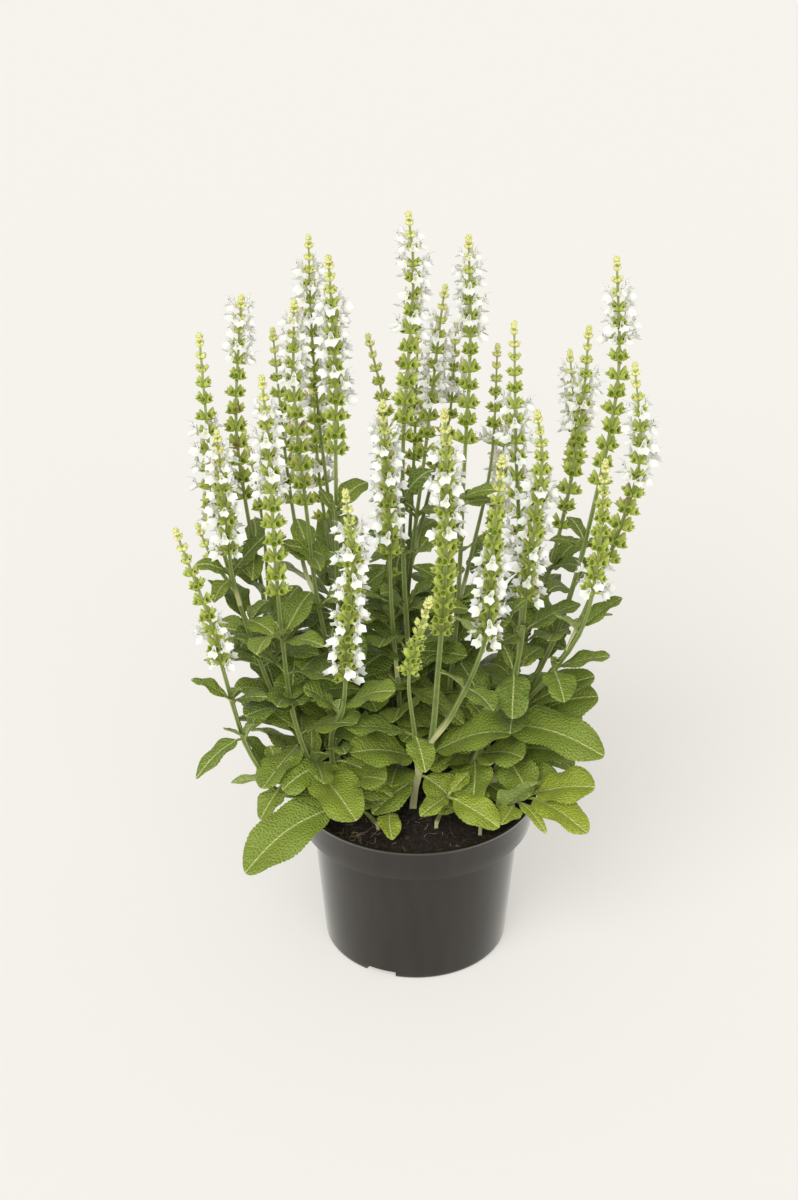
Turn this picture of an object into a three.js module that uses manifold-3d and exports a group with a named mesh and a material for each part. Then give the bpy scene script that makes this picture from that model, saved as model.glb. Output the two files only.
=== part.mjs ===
// Perennial salvia in its nursery pot: a clump of square flowering stems with paired leaves
// and whorled spikes, young shoots round the crown, and a pot full of peat.
//
// Millimetres, +Z up. The origin is the middle of the pot's flat underside, and the front
// of the plant faces -Y.

import * as THREE from 'three';
import { mergeVertices } from 'three/addons/utils/BufferGeometryUtils.js';
import Module from 'manifold-3d';

const wasm = await Module();
wasm.setup();

// ---------------------------------------------------------------------------------------
// Driving dimensions
// ---------------------------------------------------------------------------------------

// Pot: a thin-walled tapered tub with a stepped collar.
const POT_HEIGHT = 123.5;
const POT_BASE_RADIUS = 64.5;
const POT_WAIST_RADIUS = 73;
const POT_COLLAR_FOOT_RADIUS = 81;
const POT_RIM_RADIUS = 85;
const POT_COLLAR_FOOT_Z = 98;
const POT_WALL = 1.3;
const POT_FLOOR = 1.8;
const POT_SIDES = 32;
const POT_EDGE_ROUNDING = 3;
const COLLAR_STEP = 1.5;
const RIM_LIP = 0.8;

// Drain notches in the pot's bottom edge.
const NOTCH_TURNS = [-112.7, 7.3, 127.3];
const NOTCH_WIDTH = 23;
const NOTCH_HEIGHT = 5;
const NOTCH_DEPTH = 9;

// Peat: its edge lies below the rim and its middle is heaped.
const PEAT_EDGE_Z = 111;
const PEAT_HEAP = 4;
const PEAT_SIDES = 20;
const PEAT_RINGS = [0.65, 0.3];
const PEAT_LUMP = 1.1;
const PEAT_LUMP_SERIES = 77;

// Slack between the peat and the pot wall, beyond GAP, for the flats of their rings.
const PEAT_SLACK = 0.4;

// Stems stand in plain holes in the peat, and are straight up to STEM_FREE_Z.
const STEM_FOOT_Z = 94;
const STEM_FREE_Z = 118;
const STEM_CLEARANCE = 0.4;
const HOLE_DEPTH = 60;
const STEM_STEP = 42;
const STEM_TAPER = 0.66;
const SHOOT_BUD = 4;
const BRANCH_SHARE = 0.75;
const GAP = 0.3;

// Whorls: how the space between them and their size grow with the distance from the tip.
const SPIKE_NECK = 4;
const WHORL_FIRST = 7;
const WHORL_GAP_MIN = 7;
const WHORL_GAP_GROWTH = 6;
const WHORL_GAP_REACH = 35;
const WHORL_SIZE_MIN = 0.42;
const WHORL_SIZE_REACH = 42;
const CALYX_REACH = 7.4;
const CALYX_RISE = 5.2;
const CALYX_DEPTH = 2.3;
const CUP_NECK = 0.9;
const CLEFT_RISE = 0.9;
const CLEFT_REACH = 0.5;
const CALYX_PULL = 13;

// Whorls in bloom: two side lobes held up and a long lip between them, on both sides.
const LOBE_REACH = 9.6;
const LOBE_RISE = 6.4;
const LIP_REACH = 13.6;
const LIP_RISE = 0.6;

// Nearer to the tip than this the whorls are closed buds.
const BUD_STRETCH = 44;

// Leaves: thin folded blades. Stations are [share of the blade, share of the half width].
const LEAF_RIB_THICKNESS = 1.3;
const LEAF_FOLD = 0.16;
const BROAD_OUTLINE = [[0.06, 0.3], [0.3, 0.96], [0.58, 0.92], [0.84, 0.5]];
const MIDDLE_OUTLINE = [[0.2, 0.72], [0.5, 1.0], [0.8, 0.56]];
const SMALL_OUTLINE = [[0.3, 0.95], [0.72, 0.75]];
const BROAD_FROM_LENGTH = 52;
const SMALL_TO_LENGTH = 31;
const PETIOLE_HALF_WIDTH = 1.1;
const LEAF_LENGTH_LOW = 70;
const LEAF_LENGTH_HIGH = 24;
const LEAF_LOW_Z = 130;
const LEAF_HIGH_Z = 320;
const STALK_SHARE = 0.16;
const PLACED_ARCH = 0.12;

// Leaf pairs: where they stand on the bare stem, and the range of each draw as [least, spread].
// Length, width and arch are shares of the leaf's length, and the angles are in degrees.
const FIRST_PAIR = 0.7;
const LAST_PAIR_ROOM = 0.2;
const PAIR_LENGTH = [0.85, 0.3];
const PAIR_TURN = [-22, 44];
const PAIR_RISE = [-14, 48];
const PAIR_WIDTH = [0.34, 0.1];
const PAIR_ARCH = [0.08, 0.12];
const PAIR_ROLL = [-25, 50];
const PAIR_DRAWS = 20;
const LEAF_DRAWS = 10;

// Each flowering stem: the middle line from where it leaves the peat to its tip, the length
// of its spike, the stretch of it in bloom (both from the tip), its leaf pairs, the turn of
// the first pair, single leaves as [share of the stem, tip, width, roll], and side spikes.
const STEMS = [
  {
    name: 'flowering_stem_01', seed: 211, radius: 2.6, spike: 140, bloom: [62, 140],
    path: [[-56, 0], [-76, -8, 158], [-95, -15, 200], [-117, -20, 278], [-131, -22, 345],
      [-134, -20, 407], [-137, -16, 471]],
    pairs: 3, turn: 70,
    leaves: [[0.425, [-139, -8, 290], 13, 20], [0.425, [-97, -38, 292], 12, -20]],
    side: [
      { from: 0.47, path: [[-121, -32, 312], [-123, -41, 365], [-126, -45, 418]],
        spike: 100, bloom: [12, 95] },
      { from: 0.50, path: [[-134, -14, 308], [-144, -10, 332]], spike: 30, bloom: [0, 0] },
    ],
  },
  {
    name: 'flowering_stem_02', seed: 992, radius: 2.6, spike: 150, bloom: [6, 52],
    path: [[-48, 20], [-74, 18, 160], [-97, 12, 210], [-104, 8, 273], [-113, 2, 345],
      [-117, 0, 405], [-111, 0, 490]],
    pairs: 3, turn: 80, leaves: [],
    side: [
      { from: 0.33, path: [[-102, 35, 269], [-107, 50, 318], [-117, 62, 366]],
        spike: 75, bloom: [0, 0] },
    ],
  },
  {
    name: 'flowering_stem_03', seed: 62983, radius: 2.7, spike: 170, bloom: [18, 85],
    path: [[-56, -27], [-72, -31, 160], [-83, -36, 205], [-88, -45, 266], [-91, -51, 330],
      [-93, -54, 410], [-96, -54, 460]],
    pairs: 3, turn: 120, leaves: [], side: [],
  },
  {
    name: 'flowering_stem_04', seed: 664, radius: 2.7, spike: 155, bloom: [14, 62],
    path: [[-36, -4], [-44, -6, 160], [-52, -8, 202], [-66, -4, 270], [-72, -1, 330],
      [-79, 0, 419], [-78, 0, 487]],
    pairs: 3, turn: 150, leaves: [],
    side: [
      { from: 0.42, path: [[-76, 10, 292], [-86, 32, 345], [-95, 50, 445]],
        spike: 130, bloom: [60, 125] },
    ],
  },
  {
    name: 'flowering_stem_05', seed: 185, radius: 2.8, spike: 155, bloom: [34, 108],
    path: [[-30, 20], [-40, 18, 155], [-49, 15, 195], [-53, 9, 252], [-53, -4, 370],
      [-52, -14, 443], [-55, -24, 527]],
    pairs: 3, turn: 110, leaves: [],
    side: [
      { from: 0.29, path: [[-56, 24, 300], [-65, 37, 385], [-69, 40, 450], [-70, 40, 514]],
        spike: 160, bloom: [24, 120] },
    ],
  },
  {
    name: 'flowering_stem_06', seed: 6, radius: 2.8, spike: 165, bloom: [28, 160],
    path: [[-38, -18], [-54, -28, 148], [-57, -44, 190], [-48, -60, 226], [-45, -76, 285],
      [-40, -90, 352], [-44, -98, 404]],
    pairs: 0, turn: 0,
    leaves: [[0.16, [-90, -60, 157], 25, -18], [0.17, [-21, -52, 156], 24, 18],
      [0.21, [-47, -74, 196], 13, 0],
      [0.36, [-14, -82, 250], 20, 18], [0.36, [-74, -62, 240], 17, -18]],
    side: [],
  },
  {
    name: 'flowering_stem_07', seed: 247, radius: 2.7, spike: 175, bloom: [58, 120],
    path: [[-12, 2], [-11, -1, 160], [-12, 2, 195], [-17, 20, 245], [-20, 44, 300],
      [-21, 60, 375], [-33, 70, 432]],
    pairs: 3, turn: 40, leaves: [],
    side: [
      { from: 0.27, path: [[-17, -12, 279], [-18, -22, 345], [-22, -34, 434]],
        spike: 130, bloom: [18, 115] },
    ],
  },
  {
    name: 'flowering_stem_08', seed: 8, radius: 2.8, spike: 165, bloom: [14, 92],
    path: [[-14, 26], [-10, 20, 170], [-6, 11, 220], [-9, 5, 300], [-9, 1, 395],
      [-3, -2, 500], [-6, -2, 547]],
    pairs: 3, turn: 100, leaves: [], side: [],
  },
  {
    name: 'flowering_stem_09', seed: 699, radius: 2.7, spike: 130, bloom: [18, 92],
    path: [[2, 44], [-3, 48, 160], [-8, 52, 208], [-4, 58, 269], [5, 68, 345], [15, 80, 439],
      [18, 84, 461]],
    pairs: 3, turn: 20, leaves: [],
    side: [
      { from: 0.42, path: [[10, 82, 317], [22, 98, 360], [26, 108, 425]],
        spike: 110, bloom: [20, 62] },
    ],
  },
  {
    name: 'flowering_stem_10', seed: 10, radius: 3.3, spike: 195, bloom: [25, 95],
    path: [[-2, -18], [1, -28, 148], [10, -36, 182], [14, -52, 245], [18, -76, 340],
      [18, -92, 416], [16, -100, 460]],
    pairs: 0, turn: 0,
    leaves: [[0.13, [64, -54, 200], 30, 22], [0.13, [-44, -64, 190], 30, -22]],
    side: [
      { from: 0.18, path: [[24, -48, 212], [44, -64, 278], [48, -76, 355], [52, -84, 421]],
        spike: 150, bloom: [78, 150],
        leaves: [[0.25, [50, -80, 234], 16, 0], [0.25, [16, -72, 258], 12, 0],
          [0.42, [70, -60, 306], 15, 0], [0.42, [24, -86, 308], 12, 0]] },
      { from: 0.08, path: [[-1, -52, 197], [-5, -84, 260], [1, -98, 302], [8, -106, 333]],
        spike: 82, bloom: [0, 0],
        leaves: [[0.28, [-48, -62, 210], 24, 8], [0.28, [6, -84, 188], 15, 0]] },
    ],
  },
  {
    name: 'flowering_stem_11', seed: 131, radius: 2.8, spike: 150, bloom: [8, 72],
    path: [[16, 20], [20, 18, 155], [23, 18, 190], [28, 24, 257], [31, 31, 350],
      [34, 35, 440], [32, 36, 516]],
    pairs: 3, turn: 40, leaves: [],
    side: [
      { from: 0.33, path: [[37, 42, 282], [50, 60, 345], [53, 72, 424]],
        spike: 75, bloom: [58, 72] },
    ],
  },
  {
    name: 'flowering_stem_12', seed: 12, radius: 3.1, spike: 160, bloom: [48, 160],
    path: [[26, -8], [40, -14, 150], [50, -19, 184], [66, -30, 233], [72, -44, 318],
      [78, -55, 400], [74, -58, 439]],
    pairs: 0, turn: 0,
    leaves: [[0.12, [72, -48, 176], 26, 22], [0.14, [4, 2, 190], 20, -10],
      [0.21, [126, -52, 180], 34, 22], [0.22, [30, 12, 214], 20, 0],
      [0.37, [63, -68, 220], 20, 0], [0.37, [84, -4, 236], 16, 0],
      [0.47, [108, -28, 284], 18, 0], [0.47, [46, -62, 268], 14, 0]],
    side: [
      { from: 0.44, path: [[69, -20, 298], [64, -5, 380], [61, 6, 470]],
        spike: 170, bloom: [55, 168] },
    ],
  },
  {
    name: 'flowering_stem_13', seed: 1033, radius: 2.8, spike: 150, bloom: [25, 76],
    path: [[42, 12], [52, 16, 155], [60, 22, 192], [80, 38, 232], [98, 52, 298],
      [109, 60, 372], [113, 66, 440]],
    pairs: 3, turn: 30, leaves: [],
    side: [
      { from: 0.40, path: [[98, 66, 286], [108, 86, 340], [103, 100, 407]],
        spike: 95, bloom: [15, 62] },
    ],
  },
  {
    name: 'flowering_stem_14', seed: 1184, radius: 2.8, spike: 170, bloom: [18, 66],
    path: [[50, -6], [60, -2, 150], [74, 2, 190], [99, -2, 262], [116, -9, 352],
      [127, -10, 440], [123, -8, 520]],
    pairs: 3, turn: 10, leaves: [], side: [],
  },
  {
    name: 'flowering_stem_15', seed: 15, radius: 2.8, spike: 110, bloom: [86, 110],
    path: [[47, -20], [61, -13, 155], [73, -12, 195], [94, -32, 240], [109, -50, 284],
      [115, -66, 340], [116, -78, 415]],
    pairs: 0, turn: 0,
    leaves: [[0.24, [120, -18, 222], 20, 18], [0.24, [62, -64, 206], 17, 0],
      [0.4, [97, -66, 232], 18, 0], [0.4, [128, -38, 250], 16, 0],
      [0.54, [134, -40, 296], 14, 0], [0.54, [90, -70, 300], 13, 0]],
    side: [
      { from: 0.48, path: [[114, -40, 298], [126, -42, 335], [140, -46, 400], [134, -46, 466]],
        spike: 150, bloom: [25, 85] },
    ],
  },
  {
    name: 'flowering_stem_16', seed: 16, radius: 2.5, spike: 120, bloom: [70, 120],
    path: [[-58, -16], [-76, -24, 136], [-95, -34, 138], [-105, -41, 160], [-116, -46, 190],
      [-127, -56, 250], [-134, -60, 290], [-153, -62, 357]],
    pairs: 0, turn: 0,
    leaves: [[0.17, [-50, -54, 141], 16, 0], [0.18, [-127, -28, 141], 10, 60],
      [0.17, [-106, -52, 127], 15, 0], [0.19, [-116, -8, 166], 22, 30],
      [0.38, [-147, -66, 170], 13, 0], [0.38, [-97, -28, 210], 14, 0],
      [0.5, [-149, -50, 238], 12, 0], [0.5, [-98, -62, 232], 13, 0]],
    side: [],
  },
  {
    name: 'flowering_stem_17', seed: 647, radius: 2.6, spike: 120, bloom: [30, 90],
    path: [[-38, 44], [-46, 60, 170], [-56, 78, 230], [-68, 98, 310], [-72, 112, 385]],
    pairs: 3, turn: 120, leaves: [], side: [],
  },
  {
    name: 'flowering_stem_18', seed: 78, radius: 2.6, spike: 130, bloom: [20, 80],
    path: [[-14, 60], [-10, 80, 180], [-6, 100, 250], [-2, 116, 330], [0, 124, 410]],
    pairs: 3, turn: 60, leaves: [], side: [],
  },
  {
    name: 'flowering_stem_19', seed: 199, radius: 2.6, spike: 120, bloom: [24, 84],
    path: [[26, 48], [36, 66, 175], [48, 84, 240], [58, 100, 310], [62, 106, 368]],
    pairs: 3, turn: 100, leaves: [], side: [],
  },
];

// Young shoots round the crown, in the same terms and with no spike.
const SHOOTS = [
  {
    name: 'young_shoot_01', seed: 21, radius: 1.8,
    path: [[-26, -44], [-36, -48, 132], [-48, -52, 138]],
    pairs: 0, turn: 0,
    leaves: [[0.97, [-114, -98, 116], 36, -22], [0.97, [-60, -76, 150], 16, 0]],
  },
  {
    name: 'young_shoot_02', seed: 22, radius: 2.0,
    path: [[-16, -36], [-17, -38, 124], [-18, -40, 128]],
    pairs: 0, turn: 0,
    leaves: [[0.8, [-90, -56, 150], 26, -8], [0.8, [-16, -68, 122], 13, 0]],
  },
  {
    name: 'young_shoot_03', seed: 23, radius: 1.8,
    path: [[14, -42], [18, -45, 132], [22, -48, 146]],
    pairs: 0, turn: 0,
    leaves: [[0.9, [56, -74, 137], 20, 20], [0.9, [3, -74, 146], 13, 0],
      [0.97, [36, -36, 156], 11, 0], [0.5, [50, -50, 146], 16, 0]],
  },
  {
    name: 'young_shoot_04', seed: 24, radius: 2.0,
    path: [[44, -46], [58, -46, 134], [76, -44, 142]],
    pairs: 0, turn: 0,
    leaves: [[0.97, [120, -62, 162], 30, 18], [0.95, [114, -90, 144], 22, 10],
      [0.8, [87, -88, 142], 8, 0], [0.7, [57, -72, 138], 15, 0]],
  },
  {
    name: 'young_shoot_05', seed: 385, radius: 1.8,
    path: [[48, 30], [54, 34, 142], [64, 40, 164]],
    pairs: 1, turn: 130, leaves: [],
  },
  {
    name: 'young_shoot_06', seed: 416, radius: 1.8,
    path: [[6, 62], [8, 68, 142], [10, 76, 164]],
    pairs: 1, turn: 120, leaves: [],
  },
  {
    name: 'young_shoot_07', seed: 987, radius: 1.8,
    path: [[-54, 32], [-62, 37, 142], [-72, 42, 162]],
    pairs: 1, turn: 170, leaves: [],
  },
];

// ---------------------------------------------------------------------------------------
// Small helpers
// ---------------------------------------------------------------------------------------

const UP = new THREE.Vector3(0, 0, 1);

/** A repeatable draw between 0 and 1: number k of the series that seed names. */
function draw(seed, k) {
  const wide = Math.sin(seed * 127.1 + k * 311.7) * 43758.5453;
  return wide - Math.floor(wide);
}

/** A draw between least and least + spread. */
function drawFrom([least, spread], seed, k) {
  return least + spread * draw(seed, k);
}

/** A point given as [x, y, z]. */
function point(numbers) {
  return new THREE.Vector3(...numbers);
}

/** A closed body from its corners and from faces that index them. */
function bodyOf(corners, faces) {
  const vertProperties = new Float32Array(corners.flatMap((corner) => corner.toArray()));
  const triVerts = new Uint32Array(faces.flat());
  return new wasm.Manifold(new wasm.Mesh({ numProp: 3, vertProperties, triVerts }));
}

/** A closed body from a three.js geometry. */
function bodyOfGeometry(geometry) {
  const bare = geometry.clone();
  bare.deleteAttribute('normal');
  bare.deleteAttribute('uv');
  const merged = mergeVertices(bare, 1e-4);
  const triVerts = new Uint32Array(merged.index.array);
  const vertProperties = new Float32Array(merged.attributes.position.array);
  return new wasm.Manifold(new wasm.Mesh({ numProp: 3, vertProperties, triVerts }));
}

/** A three.js geometry from a closed body. */
function geometryOf(body) {
  const mesh = body.getMesh();
  const geometry = new THREE.BufferGeometry();
  const positions = new Float32Array(mesh.vertProperties);
  geometry.setAttribute('position', new THREE.BufferAttribute(positions, 3));
  geometry.setIndex(Array.from(mesh.triVerts));
  geometry.computeVertexNormals();
  return geometry;
}

/** All bodies of a list joined into one. */
function joined(bodies) {
  return bodies.reduce((whole, body) => whole.add(body));
}

// ---------------------------------------------------------------------------------------
// Lofts: rings of corners joined one to the next
// ---------------------------------------------------------------------------------------

// A ring has 8 places, every 45 degrees round the stem. Places 0, 2, 4 and 6 always hold a
// corner, and the places between them hold one or are null.
const SIDES = 4;

/** The faces between a ring and the next, each given as 8 places with corner numbers or null. */
function bandFaces(lower, upper) {
  const faces = [];
  for (let side = 0; side < SIDES; side += 1) {
    const [first, middle, last] = [2 * side, 2 * side + 1, (2 * side + 2) % (2 * SIDES)];
    const [a, am, az] = [lower[first], lower[middle], lower[last]];
    const [b, bm, bz] = [upper[first], upper[middle], upper[last]];
    if (am === null && bm === null) {
      faces.push([a, az, b], [az, bz, b]);
    } else if (am === null) {
      faces.push([a, bm, b], [a, az, bm], [az, bz, bm]);
    } else if (bm === null) {
      faces.push([a, am, b], [am, bz, b], [am, az, bz]);
    } else {
      faces.push([a, am, b], [am, bm, b], [am, az, bm], [az, bz, bm]);
    }
  }
  return faces;
}

/** A closed body through a list of rings, from a flat square foot to a point at the tip. */
function loft(rings, tip) {
  const corners = [];
  const numbered = rings.map((ring) => ring.map((corner) => corner && corners.push(corner) - 1));
  const foot = numbered[0];
  const faces = [[foot[0], foot[4], foot[2]], [foot[0], foot[6], foot[4]]];
  for (let i = 0; i + 1 < numbered.length; i += 1) {
    faces.push(...bandFaces(numbered[i], numbered[i + 1]));
  }
  const rim = numbered[numbered.length - 1].filter((number) => number !== null);
  corners.push(tip);
  rim.forEach((number, i) => faces.push([number, rim[(i + 1) % rim.length], corners.length - 1]));
  return bodyOf(corners, faces);
}

// ---------------------------------------------------------------------------------------
// Leaves
// ---------------------------------------------------------------------------------------

/** The outline of a leaf of this length: the longer it is, the more stations it has. */
function outlineFor(length) {
  if (length < SMALL_TO_LENGTH) {
    return SMALL_OUTLINE;
  }
  return length < BROAD_FROM_LENGTH ? MIDDLE_OUTLINE : BROAD_OUTLINE;
}

/**
 * A leaf from its root to its tip. The midrib is the straight line between them, lifted by
 * arch in the middle, and the blade starts where its stalk ends. The two halves of the blade
 * are folded up along the rib, and roll turns them about it.
 */
function leaf({ root, tip, width, arch, roll }) {
  const chord = tip.clone().sub(root);
  const along = chord.clone().normalize();
  const flatSide = chord.clone().cross(UP).normalize();
  const side = flatSide.applyAxisAngle(along, THREE.MathUtils.degToRad(roll));
  const outline = outlineFor(chord.length());
  const corners = [root.clone()];
  for (const [share, breadth] of outline) {
    const s = STALK_SHARE + (1 - STALK_SHARE) * share;
    const lift = 4 * arch * s * (1 - s);
    const middle = root.clone().addScaledVector(chord, s).addScaledVector(UP, lift);
    const tangent = chord.clone().addScaledVector(UP, 4 * arch * (1 - 2 * s));
    const face = side.clone().cross(tangent).normalize();
    const half = Math.max(PETIOLE_HALF_WIDTH, breadth * width / 2);
    const rib = -LEAF_FOLD * half;
    corners.push(middle.clone().addScaledVector(side, -half));
    corners.push(middle.clone().addScaledVector(face, rib + LEAF_RIB_THICKNESS / 2));
    corners.push(middle.clone().addScaledVector(side, half));
    corners.push(middle.clone().addScaledVector(face, rib - LEAF_RIB_THICKNESS / 2));
  }
  corners.push(tip.clone());
  return bodyOf(corners, leafFaces(outline.length));
}

/** The faces of a leaf with this many stations, split alike on its upper and lower side. */
function leafFaces(stations) {
  const last = 4 * stations + 1;
  const faces = [];
  for (let i = 0; i < 4; i += 1) {
    const j = (i + 1) % 4;
    faces.push([0, 1 + j, 1 + i], [last - 4 + i, last - 4 + j, last]);
    for (let k = 0; k + 1 < stations; k += 1) {
      const [a, b] = [1 + 4 * k, 5 + 4 * k];
      if (i % 2 === 0) {
        faces.push([a + i, a + j, b + i], [a + j, b + j, b + i]);
      } else {
        faces.push([a + i, a + j, b + j], [a + i, b + j, b + i]);
      }
    }
  }
  return faces;
}

/** How long a leaf is that grows at height z. */
function leafLengthAt(z) {
  const share = THREE.MathUtils.clamp((z - LEAF_LOW_Z) / (LEAF_HIGH_Z - LEAF_LOW_Z), 0, 1);
  return THREE.MathUtils.lerp(LEAF_LENGTH_LOW, LEAF_LENGTH_HIGH, share);
}

/** One leaf of a pair: its direction is given, and the rest is drawn from series seed. */
function pairedLeaf(root, azimuth, seed, k) {
  const length = leafLengthAt(root.z) * drawFrom(PAIR_LENGTH, seed, k);
  const turn = THREE.MathUtils.degToRad(azimuth + drawFrom(PAIR_TURN, seed, k + 1));
  const rise = THREE.MathUtils.degToRad(drawFrom(PAIR_RISE, seed, k + 2));
  const reach = length * Math.cos(rise);
  const tip = point([reach * Math.cos(turn), reach * Math.sin(turn), length * Math.sin(rise)]);
  return leaf({
    root,
    tip: tip.add(root),
    width: length * drawFrom(PAIR_WIDTH, seed, k + 3),
    arch: length * drawFrom(PAIR_ARCH, seed, k + 4),
    roll: drawFrom(PAIR_ROLL, seed, k + 5),
  });
}

/** A leaf whose tip, width and roll are given. */
function placedLeaf(root, [, tip, width, roll]) {
  const end = point(tip);
  return leaf({ root, tip: end, width, arch: PLACED_ARCH * root.distanceTo(end), roll });
}

// ---------------------------------------------------------------------------------------
// Stems and spikes
// ---------------------------------------------------------------------------------------

/**
 * A stem's middle line: a smooth curve through its points. Below the spike the stem is built
 * in straight steps, and what grows there starts on the line through their ends.
 */
class StemLine {
  constructor(points, spike) {
    this.curve = new THREE.CatmullRomCurve3(points, false, 'catmullrom', 0.5);
    this.length = this.curve.getLength();
    this.bare = this.length - spike;
    this.steps = Math.max(1, Math.round(this.bare / STEM_STEP));
  }

  /** The point at a distance from the foot. */
  at(distance) {
    return this.curve.getPointAt(THREE.MathUtils.clamp(distance / this.length, 0, 1));
  }

  /** The point on the straight steps at a distance from the foot. */
  onStep(distance) {
    const place = THREE.MathUtils.clamp(distance / this.bare, 0, 1) * this.steps;
    const below = Math.min(Math.floor(place), this.steps - 1);
    const start = this.at(this.bare * below / this.steps);
    const end = this.at(this.bare * (below + 1) / this.steps);
    return start.lerp(end, place - below);
  }

  /** The frame at a distance: the stem's direction and two directions across it. */
  frame(distance) {
    const along = this.curve.getTangentAt(THREE.MathUtils.clamp(distance / this.length, 0, 1));
    const across = point([1, 0, 0]).addScaledVector(along, -along.x).normalize();
    return { along, across, beside: along.clone().cross(across) };
  }
}

/** One corner of a ring: an angle in degrees, a reach from the middle and a rise along it. */
function ringCorner(middle, frame, angle, reach, rise) {
  const turn = THREE.MathUtils.degToRad(angle);
  return middle.clone()
    .addScaledVector(frame.across, reach * Math.cos(turn))
    .addScaledVector(frame.beside, reach * Math.sin(turn))
    .addScaledVector(frame.along, rise);
}

/** The square section of a stem. */
function squareRing(middle, frame, radius, rise = 0) {
  return [45, null, 135, null, 225, null, 315, null]
    .map((angle) => angle && ringCorner(middle, frame, angle, radius, rise));
}

/**
 * The mouths of a whorl in two opposite groups. Closed calyces show two teeth a group, and
 * open flowers two lobes with a long lip between them. A deep cleft parts the groups, and
 * each whorl is turned a quarter from the last.
 */
function whorlRing(middle, frame, radius, { size, open }, odd) {
  const [reach, rise] = open ? [LOBE_REACH, LOBE_RISE] : [CALYX_REACH, CALYX_RISE];
  const ring = [];
  for (let side = 0; side < SIDES; side += 1) {
    const between = (side % 2 === 0) !== odd;
    const angle = 45 + 90 * side + (between ? -CALYX_PULL : CALYX_PULL);
    ring.push(ringCorner(middle, frame, angle, reach * size, rise * size));
    if (between) {
      ring.push(ringCorner(middle, frame, 90 * (side + 1), radius + CLEFT_REACH, CLEFT_RISE));
    } else if (open) {
      ring.push(ringCorner(middle, frame, 90 * (side + 1), LIP_REACH * size, LIP_RISE));
    } else {
      ring.push(null);
    }
  }
  return ring;
}

/** Where the whorls of a spike stand, from its tip down, with each one's share of full size. */
function whorlPlaces(spike, bloom) {
  const places = [];
  let fromTip = WHORL_FIRST;
  while (fromTip <= spike) {
    const size = WHORL_SIZE_MIN + (1 - WHORL_SIZE_MIN) * Math.min(1, fromTip / WHORL_SIZE_REACH);
    places.push({ fromTip, size, open: fromTip > bloom[0] && fromTip < bloom[1] });
    fromTip += WHORL_GAP_MIN + WHORL_GAP_GROWTH * (1 - Math.exp(-fromTip / WHORL_GAP_REACH));
  }
  return places;
}

/** A stem's radius at a distance from its foot: it tapers to a third at its tip. */
function radiusAt(line, distance, foot) {
  return foot * (1 - STEM_TAPER * distance / line.length);
}

/**
 * One stem or side stem with its spike: square rings up to the spike, then its whorls and
 * the bud at its tip. Whorls past the buds are cups, hollow above.
 */
function spikeBody(line, foot, spike, bloom, lead = []) {
  const rings = [...lead];
  for (let i = lead.length ? 1 : 0; i <= line.steps; i += 1) {
    const distance = line.bare * i / line.steps;
    rings.push(squareRing(line.at(distance), line.frame(distance), radiusAt(line, distance, foot)));
  }
  whorlPlaces(spike - SPIKE_NECK, bloom).reverse().forEach((whorl, index) => {
    const distance = line.length - whorl.fromTip;
    const middle = line.at(distance);
    const frame = line.frame(distance);
    const radius = radiusAt(line, distance, foot);
    if (!whorl.open) {
      rings.push(squareRing(middle, frame, radius));
    }
    rings.push(whorlRing(middle, frame, radius, whorl, index % 2 === 1));
    if (whorl.open || whorl.fromTip > BUD_STRETCH) {
      rings.push(squareRing(middle, frame, CUP_NECK * radius, CALYX_DEPTH * whorl.size));
    }
  });
  const tip = line.at(line.length);
  if (spike === 0) {
    tip.addScaledVector(line.frame(line.length).along, SHOOT_BUD);
  }
  return loft(rings, tip);
}

/** A whole plant stem that stands in the peat, with its leaves and side spikes. */
function stemBody({ seed, radius, path, spike = 0, bloom = [0, 0], pairs, turn, leaves, side = [] }) {
  const [x, y] = path[0];
  const points = [point([x, y, STEM_FREE_Z]), ...path.slice(1).map(point)];
  const line = new StemLine(points, spike);
  const upright = { along: UP, across: point([1, 0, 0]), beside: point([0, 1, 0]) };
  const lead = [
    squareRing(point([x, y, STEM_FOOT_Z]), upright, radius),
    squareRing(points[0], upright, radius),
  ];
  const bodies = [spikeBody(line, radius, spike, bloom, lead)];
  for (let pair = 0; pair < pairs; pair += 1) {
    const root = line.onStep(line.bare * (pair + FIRST_PAIR) / (pairs + LAST_PAIR_ROOM));
    const azimuth = turn + 90 * pair;
    const series = PAIR_DRAWS * pair;
    bodies.push(pairedLeaf(root, azimuth, seed, series));
    bodies.push(pairedLeaf(root, azimuth + 180, seed, series + LEAF_DRAWS));
  }
  for (const entry of leaves) {
    bodies.push(placedLeaf(line.onStep(entry[0] * line.length), entry));
  }
  for (const branch of side) {
    const branchRoot = line.onStep(branch.from * line.length);
    const branchLine = new StemLine([branchRoot, ...branch.path.map(point)], branch.spike);
    bodies.push(spikeBody(branchLine, BRANCH_SHARE * radius, branch.spike, branch.bloom));
    for (const entry of branch.leaves ?? []) {
      bodies.push(placedLeaf(branchLine.onStep(entry[0] * branchLine.length), entry));
    }
  }
  return joined(bodies);
}

// ---------------------------------------------------------------------------------------
// Pot and peat
// ---------------------------------------------------------------------------------------

// The top of the step inside the pot, on which the wall widens into the collar.
const LEDGE_Z = POT_COLLAR_FOOT_Z + COLLAR_STEP + POT_WALL;

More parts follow.
